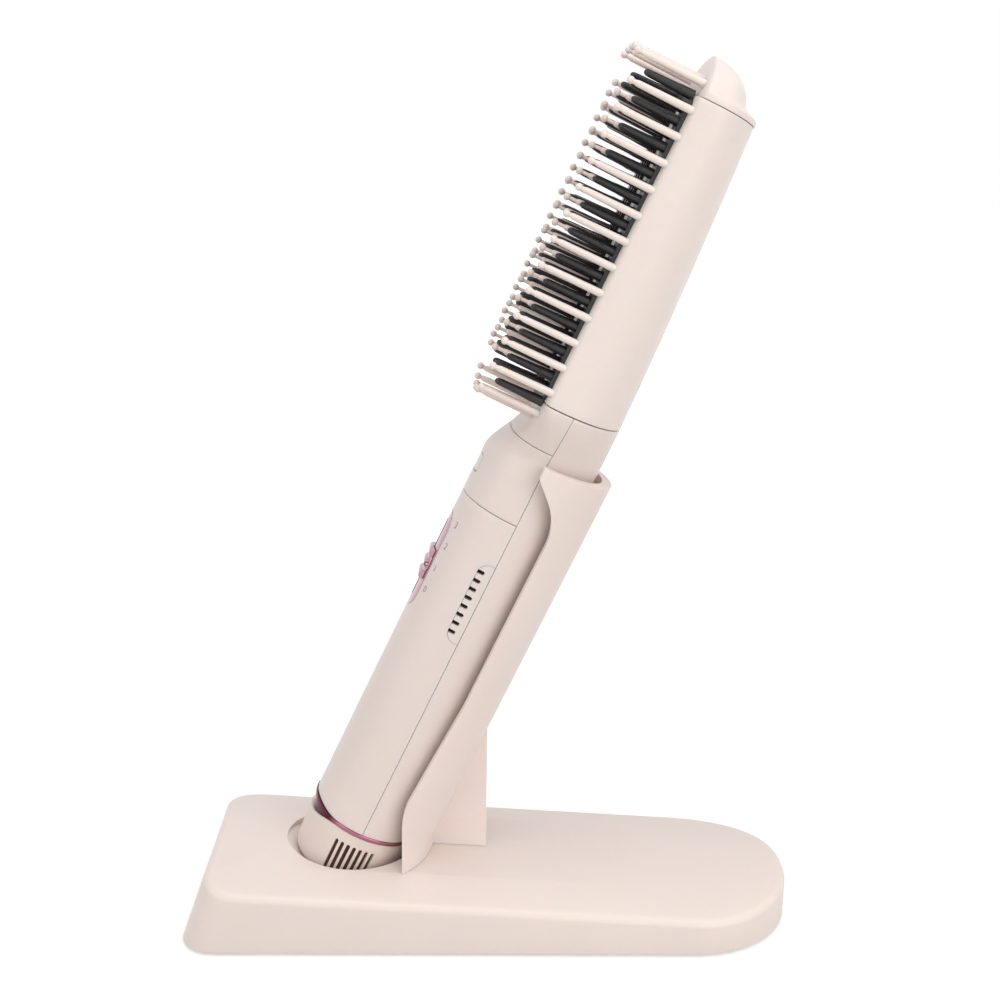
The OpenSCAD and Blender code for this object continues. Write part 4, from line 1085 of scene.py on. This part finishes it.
def rod_profile(h):
    """A round-ended rod with a slight neck below its bead."""
    bead_r = 1.25
    shaft = [(1.36, 0), (1.34, 1.5), (1.3, 3), (1.2, h * 0.5), (1.08, h - 4.2), (1.02, h - 3.5),
             (0.86, h - 3.0), (0.82, h - 2.7)]
    return shaft + arc(0, h - bead_r, bead_r, -48, 88, 10)


def front_of(z, y):
    """Height of the brush's front above its axis at a place."""
    best = 0.0
    for step in range(181):
        p = skin(z, math.pi + math.pi * step / 180, 0)
        if abs(p.y - y) < 0.35:
            best = max(best, -p.x)
    return best


neck_low = cover_z + cover_l + seam / 2
neck = wall("neck_front_shell", front_from, front_to, lambda angle: neck_low, neck_top, shell_around, 20)
cut(neck, field_tool("field_end"))
neck_rods = []
for y, back in end_rods:
    z = head_z - back
    root = min(front_of(z, y), rail_w) - neck_rod_sunk
    neck_rods += [turned(rod_profile(rail_w + rod_h - root), z, side * y, root) for side in (-1, 1)]
joined("neck_front_shell", [neck, row("neck_rods", neck_rods)])
fit(neck, in_brush, "brush", handle_pink, ["neck_front"])


# The head's shell: a long D-shaped moulding, open at the front for the heated field.
# Its two front edges are the rails, which hold a row of twelve round-ended rods each.
# It is closed by the domed end cap above.

rod_sunk = 3
head_pink = moulded("head_pink", srgb(236, 224, 218), 0.4, grain=0.22, depth=0.008, tint=0.012,
                    Subsurface_Weight=milky)
head_from, head_to = math.radians(-62), math.radians(242)
head = wall("head", lambda z: head_from, lambda z: head_to, lambda angle: head_z, cap_z - seam, 110, 60)
cut(head, field_tool("field_opening"))
fit(head, in_brush, "brush", head_pink, ["head_shell"])
for side, name in ((1, "left"), (-1, "right")):
    pins = [turned(rod_profile(rod_h + rod_sunk), rod_z0 + i * pitch, side * rod_y, rail_w - rod_sunk)
            for i in range(rods)]
    fit(row("rail_rods_" + name, pins), in_brush, "brush", head_pink, ["rod_rail_" + name])


# The end cap: a domed moulding with a flat slanted face for six rods and a thin lip behind.
# It closes the head and is held by the shell's edge.
# Its face is square at the sides, and its dome falls to the lip in one soft curve.

cap_l = 14.8
cap_back = [(0, 13.9), (0.11, 13.5), (0.19, 10.3), (0.28, 8.2), (0.4, 7.3), (0.5, 6.5), (0.6, 5.4),
            (0.72, 3.8), (0.82, 1.9), (0.9, -0.6), (0.96, -3.6), (1, -7.6)]
cap_front = [(0, 10.2), (0.3, 9.5), (0.55, 9.1), (0.8, 8.7), (1, 8.2)]
cap_mid = [(0, 3), (0.68, 3), (0.8, 4.4), (0.9, 6.2), (1, 8)]
cap_side = [(0, 27), (0.12, 26.9), (0.2, 26.4), (0.3, 25.6), (0.42, 24.2), (0.55, 22), (0.68, 19), (0.8, 15),
            (0.9, 10.6), (0.97, 6), (1, 1.6)]
cap_around = 120
cap_rod_sunk = 2.4
cap_rods = [(20.6, 4.2), (12.6, 5.6), (4.2, 6.4)]


def cap_form(name, inset, steps):
    """The cap's outer form, or its hollow when it is drawn in."""
    rings = []
    for i in range(steps + 1):
        u = 1 - (1 - i / steps) ** 1.6
        mid = through(cap_mid, u)
        f = max(0.2, through(cap_front, u) - mid - inset)
        r = max(0.2, through(cap_back, u) + mid - inset)
        hw = max(0.5, through(cap_side, u) - inset)
        q = 0.34 - 0.12 * min(1.0, u / 0.3)
        ring = []
        for j in range(cap_around):
            a = 2 * math.pi * (j + 0.5) / cap_around
            s, c = math.sin(a), math.cos(a)
            x = r * s if s > 0 else -f * abs(s) ** q
            y = hw * (c if s > 0 else math.copysign(abs(c) ** q, c))
            ring.append((x - mid, y, cap_z + u * cap_l - inset))
        rings.append(ring)
    return loft(name, rings)


cap = cap_form("end_cap", 0, 40)
cut(cap, cap_form("cap_hollow", shell_t, 24))
cut(cap, field_tool("cap_field"))
ease(cap, 0.2, 50)
cap_rod = rod_profile(rod_h + 1.6 + cap_rod_sunk)
cap_pins = [turned(cap_rod, cap_z + up, side * y, rail_w - cap_rod_sunk)
            for y, up in cap_rods for side in (-1, 1)]
joined("end_cap", [cap, row("cap_rods", cap_pins)])
fit(cap, in_brush, "brush", head_pink, ["head_end_cap"])


# The heated field: a crowned silver plate in a black frame, with five rows of black teeth.
# Ball-tipped pins in pink come up through the plate between the teeth.
# Behind the plate lie the heating bars, their carrier and the leads.

tooth_black = moulded("tooth_black", srgb(22, 21, 24), 0.3, depth=0.015, tint=0.12)
pin_pink = moulded("pin_pink", srgb(228, 212, 205), 0.4, grain=0.25, depth=0.008, tint=0.02)
silver, silver_tree, silver_shader = finish("heater_silver", Metallic=0.3)
silver_clouds = noise(silver_tree, 500, 4)
dress(silver_tree, silver_shader,
      Base_Color=ramp(silver_tree, silver_clouds, 0.35, 0.65, srgb(222, 223, 225), srgb(240, 240, 241)),
      Roughness=spread(silver_tree, noise(silver_tree, 1200, 3), 0.3, 0.5),
      Normal=emboss(silver_tree, noise(silver_tree, 1800, 2), 0.02))
ceramic = moulded("heater_ceramic", srgb(222, 214, 200), 0.8, grain=0.7, depth=0.04, tint=0.04)
lead_red = moulded("lead_red", srgb(178, 48, 38), 0.5, grain=0.4, depth=0.02, tint=0.06)
coat_node(silver, "heater_plate")
coat_node(tooth_black, "comb_frame", "tooth_bar_middle", "tooth_bar_inner_left", "tooth_bar_inner_right",
          "tooth_bar_outer_left", "tooth_bar_outer_right")
coat_node(pin_pink, "pin_strip_middle", "pin_strip_left", "pin_strip_right")
coat_node(ceramic, "heater_bars", "heater_carrier")
coat_node(lead_red, "heater_leads")
